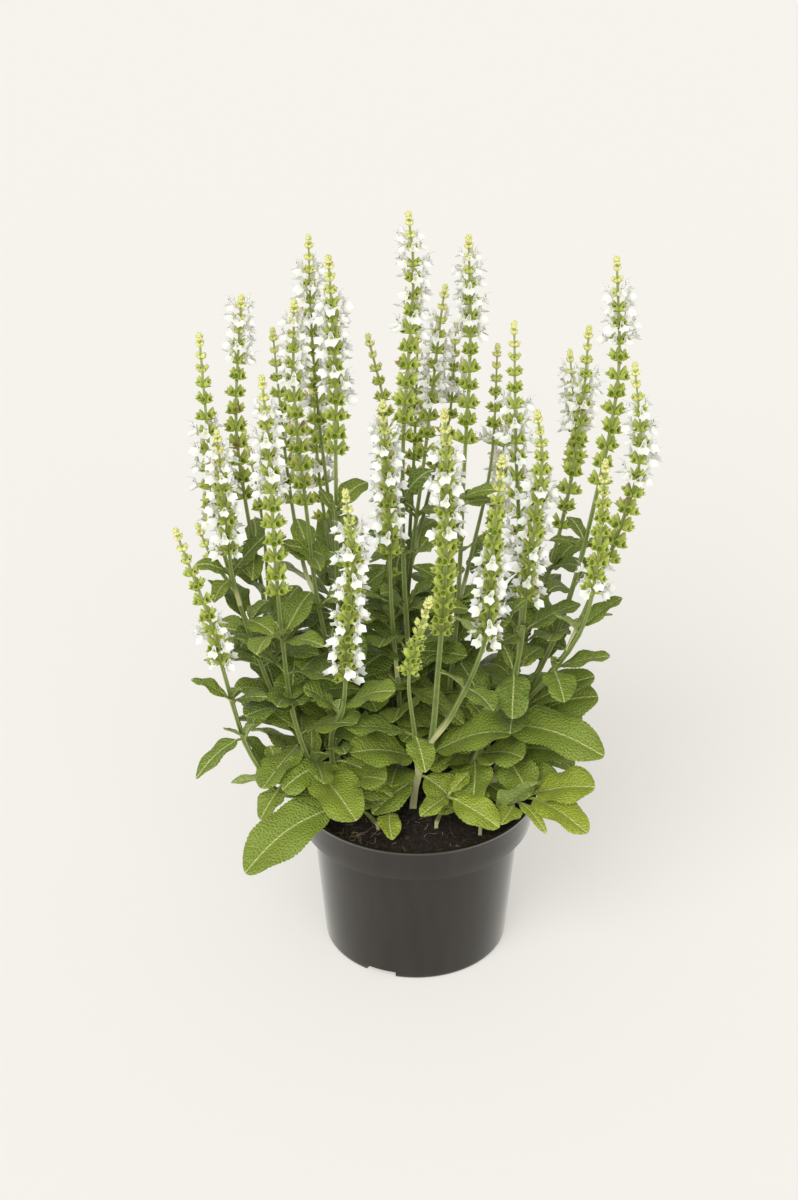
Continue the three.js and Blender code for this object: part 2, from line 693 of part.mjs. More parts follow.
/** The pot: one turned profile, with notches cut in its bottom edge. */
function potBody() {
  const profile = [
    [0, 0],
    [POT_BASE_RADIUS - POT_EDGE_ROUNDING, 0],
    [POT_BASE_RADIUS - 0.3 * POT_EDGE_ROUNDING, 0.3 * POT_EDGE_ROUNDING],
    [POT_BASE_RADIUS, POT_EDGE_ROUNDING],
    [POT_WAIST_RADIUS, POT_COLLAR_FOOT_Z + COLLAR_STEP],
    [POT_COLLAR_FOOT_RADIUS, POT_COLLAR_FOOT_Z],
    [POT_RIM_RADIUS - RIM_LIP, POT_HEIGHT - 2 * RIM_LIP],
    [POT_RIM_RADIUS, POT_HEIGHT - RIM_LIP],
    [POT_RIM_RADIUS - RIM_LIP, POT_HEIGHT],
    [POT_RIM_RADIUS - POT_WALL - RIM_LIP, POT_HEIGHT],
    [POT_COLLAR_FOOT_RADIUS - POT_WALL, LEDGE_Z],
    [POT_WAIST_RADIUS - POT_WALL, LEDGE_Z],
    [POT_BASE_RADIUS - POT_WALL - 1, POT_FLOOR],
    [0, POT_FLOOR],
  ].map(([radius, z]) => new THREE.Vector2(radius, z));
  const turned = new THREE.LatheGeometry(profile, POT_SIDES).rotateX(Math.PI / 2);
  let body = bodyOfGeometry(turned);
  for (const azimuth of NOTCH_TURNS) {
    const notch = new THREE.BoxGeometry(2 * NOTCH_DEPTH, NOTCH_WIDTH, 2 * NOTCH_HEIGHT);
    notch.translate(POT_BASE_RADIUS, 0, 0).rotateZ(THREE.MathUtils.degToRad(azimuth));
    body = body.subtract(bodyOfGeometry(notch));
  }
  return body;
}

/** The peat: it fills the pot to below the rim, is heaped in the middle and has lumps. */
function peatBody() {
  const slope = (POT_WAIST_RADIUS - POT_BASE_RADIUS) / POT_COLLAR_FOOT_Z;
  const floorZ = POT_FLOOR + GAP;
  const inner = POT_BASE_RADIUS - POT_WALL - 1 - GAP - NOTCH_DEPTH;
  const waist = POT_WAIST_RADIUS - POT_WALL - GAP - 1.5 * PEAT_SLACK;
  const ledgeZ = LEDGE_Z + GAP;
  const collarSlope = (POT_RIM_RADIUS - POT_COLLAR_FOOT_RADIUS) / (POT_HEIGHT - POT_COLLAR_FOOT_Z);
  const ledge = POT_COLLAR_FOOT_RADIUS - POT_WALL - GAP - PEAT_SLACK;
  const edge = ledge + collarSlope * (PEAT_EDGE_Z - ledgeZ) - PEAT_SLACK;
  const profile = [
    [0, floorZ],
    [inner, floorZ],
    [inner, NOTCH_HEIGHT + 2],
    [inner + NOTCH_DEPTH, NOTCH_HEIGHT + 2.5],
    [waist - slope * 4, POT_COLLAR_FOOT_Z - 3],
    [waist, ledgeZ],
    [ledge, ledgeZ],
    [edge, PEAT_EDGE_Z],
    ...PEAT_RINGS.map((share) => [edge * share, PEAT_EDGE_Z + PEAT_HEAP * (1 - share * share)]),
    [0, PEAT_EDGE_Z + PEAT_HEAP],
  ].map(([radius, z]) => new THREE.Vector2(radius, z));
  const turned = new THREE.LatheGeometry(profile, PEAT_SIDES).rotateX(Math.PI / 2);
  turned.deleteAttribute('normal');
  turned.deleteAttribute('uv');
  const merged = mergeVertices(turned, 1e-4);
  const position = merged.attributes.position;
  for (let i = 0; i < position.count; i += 1) {
    if (position.getZ(i) > PEAT_EDGE_Z + 0.5) {
      position.setZ(i, position.getZ(i) + PEAT_LUMP * (2 * draw(PEAT_LUMP_SERIES, i) - 1));
    }
  }
  let body = bodyOfGeometry(merged);
  for (const { path: [[x, y]], radius } of [...STEMS, ...SHOOTS]) {
    const across = Math.SQRT2 * radius + 2 * STEM_CLEARANCE;
    const hole = new THREE.BoxGeometry(across, across, HOLE_DEPTH);
    hole.translate(x, y, STEM_FOOT_Z - GAP + HOLE_DEPTH / 2);
    body = body.subtract(bodyOfGeometry(hole));
  }
  return body;
}

// ---------------------------------------------------------------------------------------
// The part
// ---------------------------------------------------------------------------------------

const POT_PLASTIC = new THREE.MeshStandardMaterial({ color: 0x44403a, roughness: 0.42, metalness: 0 });
const PEAT = new THREE.MeshStandardMaterial({ color: 0x2b211b, roughness: 0.98, metalness: 0 });
const STEM_GREEN = new THREE.MeshStandardMaterial({ color: 0x93a54a, roughness: 0.6, metalness: 0 });
const LEAF_GREEN = new THREE.MeshStandardMaterial({ color: 0x5f7c3a, roughness: 0.62, metalness: 0 });

/** A named mesh from a closed body. */
function namedMesh(name, body, material) {
  const mesh = new THREE.Mesh(geometryOf(body), material);
  mesh.name = name;
  return mesh;
}

const group = new THREE.Group();
group.add(namedMesh('pot', potBody(), POT_PLASTIC));
group.add(namedMesh('peat', peatBody(), PEAT));
for (const stem of STEMS) {
  group.add(namedMesh(stem.name, stemBody(stem), STEM_GREEN));
}
for (const shoot of SHOOTS) {
  group.add(namedMesh(shoot.name, stemBody(shoot), LEAF_GREEN));
}

export default group;
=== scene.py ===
"""Perennial salvia in its nursery pot: the looks of every stem, leaf, flower, crumb and pot wall.

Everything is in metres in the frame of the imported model: +Z up, the plant's front towards -Y.
Each plant stem of the model is replaced by finer pieces that stand on the same middle line:
its square stems, its wrinkled leaves, its whorls of calyces and its white flowers.
"""

import logging
from dataclasses import dataclass, field
from enum import Enum

import bpy
import numpy as np
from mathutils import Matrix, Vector


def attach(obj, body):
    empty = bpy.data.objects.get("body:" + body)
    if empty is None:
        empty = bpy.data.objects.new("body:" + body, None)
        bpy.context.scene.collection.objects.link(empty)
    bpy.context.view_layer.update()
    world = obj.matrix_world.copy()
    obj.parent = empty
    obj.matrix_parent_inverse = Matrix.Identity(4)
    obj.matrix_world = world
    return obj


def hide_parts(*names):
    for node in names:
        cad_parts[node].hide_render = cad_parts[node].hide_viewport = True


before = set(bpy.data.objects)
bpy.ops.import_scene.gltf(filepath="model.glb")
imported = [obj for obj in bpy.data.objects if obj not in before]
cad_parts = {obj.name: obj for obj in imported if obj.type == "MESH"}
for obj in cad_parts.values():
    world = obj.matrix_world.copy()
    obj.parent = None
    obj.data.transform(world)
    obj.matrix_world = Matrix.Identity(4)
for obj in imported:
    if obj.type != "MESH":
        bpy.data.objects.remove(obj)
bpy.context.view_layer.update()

LOG = logging.getLogger("salvia")
MM = 0.001
UP = np.array([0.0, 0.0, 1.0])
TAU = 2.0 * np.pi

Array = np.ndarray
Point = tuple[float, float, float]
Pair = tuple[float, float]
Row = tuple[float, ...]
Colour = tuple[float, ...]
Material = bpy.types.Material
Socket = bpy.types.NodeSocket


# ---- The plant's plan: one entry for each stem, in millimetres ----


@dataclass(frozen=True)
class Leaf:
    """One leaf with its own place.

    Args:
        share: how far up its stem it grows, from 0 to 1.
        tip: where its tip is, in millimetres.
        width: its greatest width, in millimetres.
        roll: the turn of its blade about its rib, in degrees.
        fresh: how much fresher its green is than its neighbours'.
    """

    share: float
    tip: Point
    width: float
    roll: float = 0.0
    fresh: float = 0.0


@dataclass(frozen=True)
class Branch:
    """A side stem: where it leaves its stem, its path, its spike, its bloom and its leaves."""

    share: float
    path: tuple[Point, ...]
    spike: float
    bloom: Pair
    leaves: tuple[Leaf, ...] = ()


@dataclass(frozen=True)
class StemPlan:
    """A stem that stands in the peat, with all that grows on it.

    Args:
        node: the name of the model's node that it replaces.
        seed: the series of its random draws.
        radius: its radius at the foot.
        foot: where it leaves the peat, x and y.
        path: the points of its middle line above the peat, up to its tip.
        spike: the length of its spike.
        bloom: the stretch in flower, both ends measured from the tip.
        pairs: how many leaf pairs it has.
        turn: the turn of its lowest pair, in degrees.
        leaves: its single leaves.
        side: its side stems.
    """

    node: str
    seed: int
    radius: float
    foot: Pair
    path: tuple[Point, ...]
    spike: float = 0.0
    bloom: Pair = (0.0, 0.0)
    pairs: int = 0
    turn: float = 0.0
    leaves: tuple[Leaf, ...] = ()
    side: tuple[Branch, ...] = ()

    def pair_shares(self) -> list[float]:
        """How far up the bare stem each leaf pair grows, from 0 to 1."""
        room = self.pairs + RULES.last_pair_room
        return [(pair + RULES.first_pair) / room for pair in range(self.pairs)]


PLANS: tuple[StemPlan, ...] = (
    StemPlan("flowering_stem_01", seed=211, radius=2.6, foot=(-56, 0), spike=140, bloom=(62, 140),
        pairs=3, turn=70,
        path=((-76, -8, 158), (-95, -15, 200), (-117, -20, 278), (-131, -22, 345), (-134, -20, 407),
              (-137, -16, 471)),
        leaves=(Leaf(0.425, (-139, -8, 290), 13, 20),
                Leaf(0.425, (-97, -38, 292), 12, -20)),
        side=(Branch(0.47, ((-121, -32, 312), (-123, -41, 365), (-126, -45, 418)), 100, (12, 95)),
              Branch(0.5, ((-134, -14, 308), (-144, -10, 332)), 30, (0, 0))),
    ),
    StemPlan("flowering_stem_02", seed=992, radius=2.6, foot=(-48, 20), spike=150, bloom=(6, 52),
        pairs=3, turn=80,
        path=((-74, 18, 160), (-97, 12, 210), (-104, 8, 273), (-113, 2, 345), (-117, 0, 405),
              (-111, 0, 490)),
        side=(Branch(0.33, ((-102, 35, 269), (-107, 50, 318), (-117, 62, 366)), 75, (0, 0)),),
    ),
    StemPlan("flowering_stem_03", seed=62983, radius=2.7, foot=(-56, -27), spike=170,
        bloom=(18, 85), pairs=3, turn=120,
        path=((-72, -31, 160), (-83, -36, 205), (-88, -45, 266), (-91, -51, 330), (-93, -54, 410),
              (-96, -54, 460)),
    ),
    StemPlan("flowering_stem_04", seed=664, radius=2.7, foot=(-36, -4), spike=155, bloom=(14, 62),
        pairs=3, turn=150,
        path=((-44, -6, 160), (-52, -8, 202), (-66, -4, 270), (-72, -1, 330), (-79, 0, 419),
              (-78, 0, 487)),
        side=(Branch(0.42, ((-76, 10, 292), (-86, 32, 345), (-95, 50, 445)), 130, (60, 125)),),
    ),
    StemPlan("flowering_stem_05", seed=185, radius=2.8, foot=(-30, 20), spike=155, bloom=(34, 108),
        pairs=3, turn=110,
        path=((-40, 18, 155), (-49, 15, 195), (-53, 9, 252), (-53, -4, 370), (-52, -14, 443),
              (-55, -24, 527)),
        side=(Branch(0.29, ((-56, 24, 300), (-65, 37, 385), (-69, 40, 450), (-70, 40, 514)),
                     160, (24, 120)),),
    ),
    StemPlan("flowering_stem_06", seed=6, radius=2.8, foot=(-38, -18), spike=165, bloom=(28, 160),
        path=((-54, -28, 148), (-57, -44, 190), (-48, -60, 226), (-45, -76, 285), (-40, -90, 352),
              (-44, -98, 404)),
        leaves=(Leaf(0.16, (-90, -60, 157), 25, -18),
                Leaf(0.17, (-21, -52, 156), 24, 18), Leaf(0.21, (-47, -74, 196), 13),
                Leaf(0.36, (-14, -82, 250), 20, 18),
                Leaf(0.36, (-74, -62, 240), 17, -18)),
    ),
    StemPlan("flowering_stem_07", seed=247, radius=2.7, foot=(-12, 2), spike=175, bloom=(58, 120),
        pairs=3, turn=40,
        path=((-11, -1, 160), (-12, 2, 195), (-17, 20, 245), (-20, 44, 300), (-21, 60, 375),
              (-33, 70, 432)),
        side=(Branch(0.27, ((-17, -12, 279), (-18, -22, 345), (-22, -34, 434)), 130, (18, 115)),),
    ),
    StemPlan("flowering_stem_08", seed=8, radius=2.8, foot=(-14, 26), spike=165, bloom=(14, 92),
        pairs=3, turn=100,
        path=((-10, 20, 170), (-6, 11, 220), (-9, 5, 300), (-9, 1, 395), (-3, -2, 500),
              (-6, -2, 547)),
    ),
    StemPlan("flowering_stem_09", seed=699, radius=2.7, foot=(2, 44), spike=130, bloom=(18, 92),
        pairs=3, turn=20,
        path=((-3, 48, 160), (-8, 52, 208), (-4, 58, 269), (5, 68, 345), (15, 80, 439),
              (18, 84, 461)),
        side=(Branch(0.42, ((10, 82, 317), (22, 98, 360), (26, 108, 425)), 110, (20, 62)),),
    ),
    StemPlan("flowering_stem_10", seed=10, radius=3.3, foot=(-2, -18), spike=195, bloom=(25, 95),
        path=((1, -28, 148), (10, -36, 182), (14, -52, 245), (18, -76, 340), (18, -92, 416),
              (16, -100, 460)),
        leaves=(Leaf(0.13, (64, -54, 200), 30, 22),
                Leaf(0.13, (-44, -64, 190), 30, -22)),
        side=(Branch(0.18, ((24, -48, 212), (44, -64, 278), (48, -76, 355), (52, -84, 421)),
                     150, (78, 150),
                     leaves=(Leaf(0.25, (50, -80, 234), 16),
                             Leaf(0.25, (16, -72, 258), 12),
                             Leaf(0.42, (70, -60, 306), 15),
                             Leaf(0.42, (24, -86, 308), 12))),
              Branch(0.08, ((-1, -52, 197), (-5, -84, 260), (1, -98, 302), (8, -106, 333)),
                     82, (0, 0),
                     leaves=(Leaf(0.28, (-48, -62, 210), 24, 8),
                             Leaf(0.28, (6, -84, 188), 15)))),
    ),
    StemPlan("flowering_stem_11", seed=131, radius=2.8, foot=(16, 20), spike=150, bloom=(8, 72),
        pairs=3, turn=40,
        path=((20, 18, 155), (23, 18, 190), (28, 24, 257), (31, 31, 350), (34, 35, 440),
              (32, 36, 516)),
        side=(Branch(0.33, ((37, 42, 282), (50, 60, 345), (53, 72, 424)), 75, (58, 72)),),
    ),
    StemPlan("flowering_stem_12", seed=12, radius=3.1, foot=(26, -8), spike=160, bloom=(48, 160),
        path=((40, -14, 150), (50, -19, 184), (66, -30, 233), (72, -44, 318), (78, -55, 400),
              (74, -58, 439)),
        leaves=(Leaf(0.12, (72, -48, 176), 26, 22), Leaf(0.14, (4, 2, 190), 20, -10),
                Leaf(0.21, (126, -52, 180), 34, 22), Leaf(0.22, (30, 12, 214), 20),
                Leaf(0.37, (63, -68, 220), 20), Leaf(0.37, (84, -4, 236), 16),
                Leaf(0.47, (108, -28, 284), 18), Leaf(0.47, (46, -62, 268), 14)),
        side=(Branch(0.44, ((69, -20, 298), (64, -5, 380), (61, 6, 470)), 170, (55, 168)),),
    ),
    StemPlan("flowering_stem_13", seed=1033, radius=2.8, foot=(42, 12), spike=150, bloom=(25, 76),
        pairs=3, turn=30,
        path=((52, 16, 155), (60, 22, 192), (80, 38, 232), (98, 52, 298), (109, 60, 372),
              (113, 66, 440)),
        side=(Branch(0.4, ((98, 66, 286), (108, 86, 340), (103, 100, 407)), 95, (15, 62)),),
    ),
    StemPlan("flowering_stem_14", seed=1184, radius=2.8, foot=(50, -6), spike=170, bloom=(18, 66),
        pairs=3, turn=10,
        path=((60, -2, 150), (74, 2, 190), (99, -2, 262), (116, -9, 352), (127, -10, 440),
              (123, -8, 520)),
    ),
    StemPlan("flowering_stem_15", seed=15, radius=2.8, foot=(47, -20), spike=110, bloom=(86, 110),
        path=((61, -13, 155), (73, -12, 195), (94, -32, 240), (109, -50, 284), (115, -66, 340),
              (116, -78, 415)),
        leaves=(Leaf(0.24, (120, -18, 222), 20, 18), Leaf(0.24, (62, -64, 206), 17),
                Leaf(0.4, (97, -66, 232), 18), Leaf(0.4, (128, -38, 250), 16),
                Leaf(0.54, (134, -40, 296), 14), Leaf(0.54, (90, -70, 300), 13)),
        side=(Branch(0.48, ((114, -40, 298), (126, -42, 335), (140, -46, 400), (134, -46, 466)),
                     150, (25, 85)),),
    ),
    StemPlan("flowering_stem_16", seed=16, radius=2.5, foot=(-58, -16), spike=120, bloom=(70, 120),
        path=((-76, -24, 136), (-95, -34, 138), (-105, -41, 160), (-116, -46, 190),
              (-127, -56, 250), (-134, -60, 290), (-153, -62, 357)),
        leaves=(Leaf(0.17, (-50, -54, 141), 16), Leaf(0.18, (-127, -28, 141), 10, 60),
                Leaf(0.17, (-106, -52, 127), 15), Leaf(0.19, (-116, -8, 166), 22, 30),
                Leaf(0.38, (-147, -66, 170), 13), Leaf(0.38, (-97, -28, 210), 14),
                Leaf(0.5, (-149, -50, 238), 12), Leaf(0.5, (-98, -62, 232), 13)),
    ),
    StemPlan("flowering_stem_17", seed=647, radius=2.6, foot=(-38, 44), spike=120, bloom=(30, 90),
        pairs=3, turn=120,
        path=((-46, 60, 170), (-56, 78, 230), (-68, 98, 310), (-72, 112, 385)),
    ),
    StemPlan("flowering_stem_18", seed=78, radius=2.6, foot=(-14, 60), spike=130, bloom=(20, 80),
        pairs=3, turn=60,
        path=((-10, 80, 180), (-6, 100, 250), (-2, 116, 330), (0, 124, 410)),
    ),
    StemPlan("flowering_stem_19", seed=199, radius=2.6, foot=(26, 48), spike=120, bloom=(24, 84),
        pairs=3, turn=100,
        path=((36, 66, 175), (48, 84, 240), (58, 100, 310), (62, 106, 368)),
    ),
    StemPlan("young_shoot_01", seed=21, radius=1.8, foot=(-26, -44),
        path=((-36, -48, 132), (-48, -52, 138)),
        leaves=(Leaf(0.97, (-114, -98, 116), 36, -22), Leaf(0.97, (-60, -76, 150), 16)),
    ),
    StemPlan("young_shoot_02", seed=22, radius=2, foot=(-16, -36),
        path=((-17, -38, 124), (-18, -40, 128)),
        leaves=(Leaf(0.8, (-90, -56, 150), 26, -8), Leaf(0.8, (-16, -68, 122), 13)),
    ),
    StemPlan("young_shoot_03", seed=23, radius=1.8, foot=(14, -42),
        path=((18, -45, 132), (22, -48, 146)),
        leaves=(Leaf(0.9, (56, -74, 137), 20, 20), Leaf(0.9, (3, -74, 146), 13),
                Leaf(0.97, (36, -36, 156), 11), Leaf(0.5, (50, -50, 146), 16)),
    ),
    StemPlan("young_shoot_04", seed=24, radius=2, foot=(44, -46),
        path=((58, -46, 134), (76, -44, 142)),
        leaves=(Leaf(0.97, (120, -62, 162), 30, 18),
                Leaf(0.95, (114, -90, 144), 22, 10), Leaf(0.8, (87, -88, 142), 8),
                Leaf(0.7, (57, -72, 138), 15)),
    ),
    StemPlan("young_shoot_05", seed=385, radius=1.8, foot=(48, 30), pairs=1, turn=130,
        path=((54, 34, 142), (64, 40, 164)),
    ),
    StemPlan("young_shoot_06", seed=416, radius=1.8, foot=(6, 62), pairs=1, turn=120,
        path=((8, 68, 142), (10, 76, 164)),
    ),
    StemPlan("young_shoot_07", seed=987, radius=1.8, foot=(-54, 32), pairs=1, turn=170,
        path=((-62, 37, 142), (-72, 42, 162)),
    ),
)

# How much fresher than on the stems the green of the young shoots is.
FRESHNESS = {
    "young_shoot_01": -0.3,
    "young_shoot_02": 0.1,
    "young_shoot_03": 0.3,
    "young_shoot_04": 0.5,
}

# Leaves low on the stems that only the finished plant has: they cover the crown.
LOW_LEAVES: dict[str, tuple[Leaf, ...]] = {
    "flowering_stem_12": (
        Leaf(0.115, (37, -62, 141), 25, 24),
        Leaf(0.06, (66, -30, 126), 20, 20),
        Leaf(0.09, (16, -46, 128), 20, -14),
    ),
    "flowering_stem_15": (
        Leaf(0.125, (77, -52, 147), 25, 26),
        Leaf(0.07, (98, -44, 149), 26, 18, 0.25),
        Leaf(0.1, (86, -8, 148), 24, 10),
    ),
    "flowering_stem_14": (
        Leaf(0.08, (108, -22, 160), 28, 20),
        Leaf(0.05, (84, 18, 150), 24, 0),
    ),
    "young_shoot_04": (Leaf(0.3, (81, -62, 166), 24, -34, -0.4),),
    "flowering_stem_10": (
        Leaf(0.045, (-76, -47, 157), 27, -14, 0.55),
        Leaf(0.09, (30, -46, 134), 22, 16),
        Leaf(0.075, (-30, -46, 128), 20, -20),
    ),
    "flowering_stem_06": (Leaf(0.14, (-16, -46, 142), 24, 20),),
    "flowering_stem_11": (Leaf(0.05, (48, -8, 140), 26, 16),),
    "flowering_stem_04": (Leaf(0.07, (-14, -34, 142), 26, 16),),
}


# ---- Rules of growth, shared by every stem, in millimetres ----


@dataclass(frozen=True)
class GrowthRules:
    """The numbers that place whorls and leaves on any stem.

    Stems are free of the peat at free_z and stand in it at foot_z. Leaves are seated on
    straight steps of the stem. Whorls start at whorl_first from the tip, and the gap between
    them grows from whorl_gap by whorl_gap_growth down the spike. The two leaf entries are a
    height and how long leaves are there. Fullness is how much wider than planned narrow and
    wide leaves are. Inner joints are shares of the bare stem.
    """

    free_z: float = 118.0
    foot_z: float = 96.0
    step: float = 42.0
    taper: float = 0.66
    branch_share: float = 0.75
    spike_neck: float = 4.0
    whorl_first: float = 7.0
    whorl_gap: float = 7.0
    whorl_gap_growth: float = 6.0
    whorl_gap_reach: float = 35.0
    whorl_size_least: float = 0.42
    whorl_size_reach: float = 42.0
    leaf_low: Pair = (130.0, 70.0)
    leaf_high: Pair = (320.0, 24.0)
    stalk_share: float = 0.16
    placed_arch: float = 0.12
    leaf_fold: float = 0.16
    vein_lean: float = 0.8
    first_pair: float = 0.7
    last_pair_room: float = 0.2
    fullness: Pair = (1.18, 0.94)
    inner_joints: Row = (0.1, 0.25, 0.4, 0.55, 0.7, 0.86)


RULES = GrowthRules()


def draw(seed: float, k: Array | float) -> Array:
    """Repeatable draws between 0 and 1: the fraction of a large sine of series and number.

    Args:
        seed: the series.
        k: the number in the series, or an array of them.

    Returns:
        One draw for each number.
    """
    wide = np.sin(seed * 127.1 + np.asarray(k, float) * 311.7) * 43758.5453
    return wide - np.floor(wide)


def draw_from(least: float, spread: float, seed: float, k: Array | float) -> Array:
    """Draws between least and least plus spread."""
    return least + spread * draw(seed, k)


def unit(vectors: Array) -> Array:
    """Vectors of length one in the same directions."""
    return vectors / np.maximum(np.linalg.norm(vectors, axis=-1, keepdims=True), 1e-12)


def turned(vectors: Array, axis: Array, angle: Array | float) -> Array:
    """Vectors turned about an axis: v cos a + (axis x v) sin a + axis (axis . v)(1 - cos a).

    Args:
        vectors: what is turned.
        axis: the unit vector they turn about.
        angle: how far, in radians.

    Returns:
        The turned vectors.
    """
    angle = np.asarray(angle)[..., None]
    along = np.sum(axis * vectors, axis=-1, keepdims=True)
    return (
        vectors * np.cos(angle)
        + np.cross(axis, vectors) * np.sin(angle)
        + axis * along * (1.0 - np.cos(angle))
    )


def stacked(*parts: Array | float) -> Array:
    """Rows with one number from each part; the parts may differ in shape."""
    return np.stack(np.broadcast_arrays(*parts), axis=-1)


def circles(radius: Array, turn: Array, z: Array) -> Array:
    """Points on level circles about the upright axis."""
    return stacked(radius * np.cos(turn), radius * np.sin(turn), z)


def bell(distance: Array, width: float) -> Array:
    """A smooth hump of height one: exp(-(distance / width) squared)."""
    return np.exp(-((distance / width) ** 2))


def soil_noise(x: Array, y: Array, size: float, seed: float) -> Array:
    """Smooth lumps between -1 and 1: drawn heights on a square grid, eased between its corners.

    Args:
        x: places along X.
        y: places along Y.
        size: the side of a grid square.
        seed: the series of draws.

    Returns:
        A height for each place.
    """
    u, v = x / size, y / size
    i, j = np.floor(u), np.floor(v)
    fu, fv = u - i, v - j
    fu, fv = fu * fu * (3.0 - 2.0 * fu), fv * fv * (3.0 - 2.0 * fv)

    def corner(a: Array, b: Array) -> Array:
        """The drawn height of one grid corner."""
        return draw(seed, a * 0.731 + b * 1.947)

    low = corner(i, j) * (1.0 - fu) + corner(i + 1.0, j) * fu
    high = corner(i, j + 1.0) * (1.0 - fu) + corner(i + 1.0, j + 1.0) * fu
    return 2.0 * (low * (1.0 - fv) + high * fv) - 1.0


class MiddleLine:
    """A stem's middle line: a smooth curve through its points, measured along its length."""

    SAMPLES = 60

    def __init__(self, points: Array, spike: float) -> None:
        """Samples the curve: between two points it is a cubic whose slope at each point is half
        the way from the point before to the point after.

        Args:
            points: the points of the line, from foot to tip.
            spike: the length of the spike at its end.
        """
        points = np.asarray(points, float)
        before, after = 2.0 * points[0] - points[1], 2.0 * points[-1] - points[-2]
        all_points = np.vstack([before, points, after])
        spans = len(points) - 1
        place = np.linspace(0.0, spans, spans * self.SAMPLES + 1)
        span = np.minimum(place.astype(int), spans - 1)
        u = (place - span)[:, None]
        p0, p1, p2, p3 = (all_points[span + i] for i in range(4))
        m1, m2 = 0.5 * (p2 - p0), 0.5 * (p3 - p1)
        square, cube = -3.0 * p1 + 3.0 * p2 - 2.0 * m1 - m2, 2.0 * p1 - 2.0 * p2 + m1 + m2
        self.samples = p1 + m1 * u + square * u**2 + cube * u**3
        self.slopes = unit(m1 + 2.0 * square * u + 3.0 * cube * u**2)
        steps = np.linalg.norm(np.diff(self.samples, axis=0), axis=1)
        self.distances = np.concatenate([[0.0], np.cumsum(steps)])
        self.length = float(self.distances[-1])
        self.bare = self.length - spike
        self.spike = spike
        self.steps = max(1, int(np.floor(self.bare / RULES.step + 0.5)))

    def at(self, distance: Array | float) -> Array:
        """The points at distances from the foot."""
        columns = [np.interp(distance, self.distances, self.samples[:, i]) for i in range(3)]
        return stacked(*columns)

    def frame(self, distance: Array | float) -> tuple[Array, Array, Array]:
        """The stem's direction and two directions across it, at distances from the foot.

        Args:
            distance: where on the line.

        Returns:
            Unit vectors along the stem, across it and beside both.
        """
        columns = [np.interp(distance, self.distances, self.slopes[:, i]) for i in range(3)]
        along = unit(stacked(*columns))
        across = unit(np.array([1.0, 0.0, 0.0]) - along * along[..., :1])
        return along, across, np.cross(along, across)

    def on_step(self, distance: float) -> Array:
        """The point at a distance on the straight steps that the model's stem is built in.

        Args:
            distance: how far from the foot.

        Returns:
            The point.
        """
        place = min(max(distance / self.bare, 0.0), 1.0) * self.steps
        below = min(int(place), self.steps - 1)
        start = self.at(self.bare * below / self.steps)
        end = self.at(self.bare * (below + 1) / self.steps)
        return start + (end - start) * (place - below)

    def radius(self, distance: Array | float, foot: float) -> Array:
        """The stem's radius at a distance from its foot: it tapers to a third."""
        return foot * (1.0 - RULES.taper * np.asarray(distance) / self.length)


# ---- Surfaces ----


@dataclass
class Surface:
    """Corners and faces in millimetres, and what corners carry: numbers, or UV pairs."""

    corners: Array
    quads: Array
    tris: Array
    layers: dict[str, Array] = field(default_factory=dict)


def closed_tubes(rings: Array, foot: Array, tip: Array, layers: dict[str, Array]) -> Surface:
    """Tubes through rings of points, each closed by a fan to a point at both ends.

    Args:
        rings: points [tube, ring, column], columns counter-clockwise about the tube's way.
        foot: each tube's first point.
        tip: each tube's last point.
        layers: numbers [tube, ring, column], or pairs [tube, ring, column, 2].

    Returns:
        All the tubes as one surface.
    """
    tubes, count, columns = rings.shape[:3]
    stride = count * columns + 2
    corners = np.concatenate(
        [rings.reshape(tubes, -1, 3), foot.reshape(tubes, 1, 3), tip.reshape(tubes, 1, 3)], axis=1
    )
    column = np.arange(columns)
    following = (column + 1) % columns
    ring = np.arange(count - 1)[:, None] * columns
    quads = stacked(
        ring + column, ring + following, ring + columns + following, ring + columns + column
    ).reshape(-1, 4)
    last = (count - 1) * columns
    foot_fan = stacked(count * columns, following, column)
    tip_fan = stacked(count * columns + 1, last + column, last + following)
    tris = np.concatenate([foot_fan, tip_fan])
    shift = (np.arange(tubes) * stride)[:, None, None]
    carried = {}
    for name, values in layers.items():
        ends = [values[:, :1].mean(axis=2), values[:, -1:].mean(axis=2)]
        tail = values.shape[3:]
        carried[name] = np.concatenate([values.reshape(tubes, -1, *tail), *ends], axis=1)
        carried[name] = carried[name].reshape(-1, *tail)
    return Surface(
        corners.reshape(-1, 3),
        (quads + shift).reshape(-1, 4),
        (tris + shift).reshape(-1, 3),
        carried,
    )


def gathered(surfaces: list[Surface]) -> Surface:
    """Several surfaces as one, with each one's corners numbered on from the last one's.

    Args:
        surfaces: surfaces whose corners carry the same numbers.

    Returns:
        Their one surface.
    """
    starts = np.cumsum([0] + [len(surface.corners) for surface in surfaces])
    names = surfaces[0].layers.keys()
    return Surface(
        np.concatenate([surface.corners for surface in surfaces]),
        np.concatenate([s.quads + start for s, start in zip(surfaces, starts)]),
        np.concatenate([s.tris + start for s, start in zip(surfaces, starts)]),
        {name: np.concatenate([s.layers[name] for s in surfaces]) for name in names},
    )


def shown(name: str, data: bpy.types.ID) -> bpy.types.Object:
    """A new object of the scene.

    Args:
        name: its name.
        data: the mesh, lamp or camera that it shows.

    Returns:
        The object.
    """
    made = bpy.data.objects.new(name, data)
    bpy.context.scene.collection.objects.link(made)
    return made


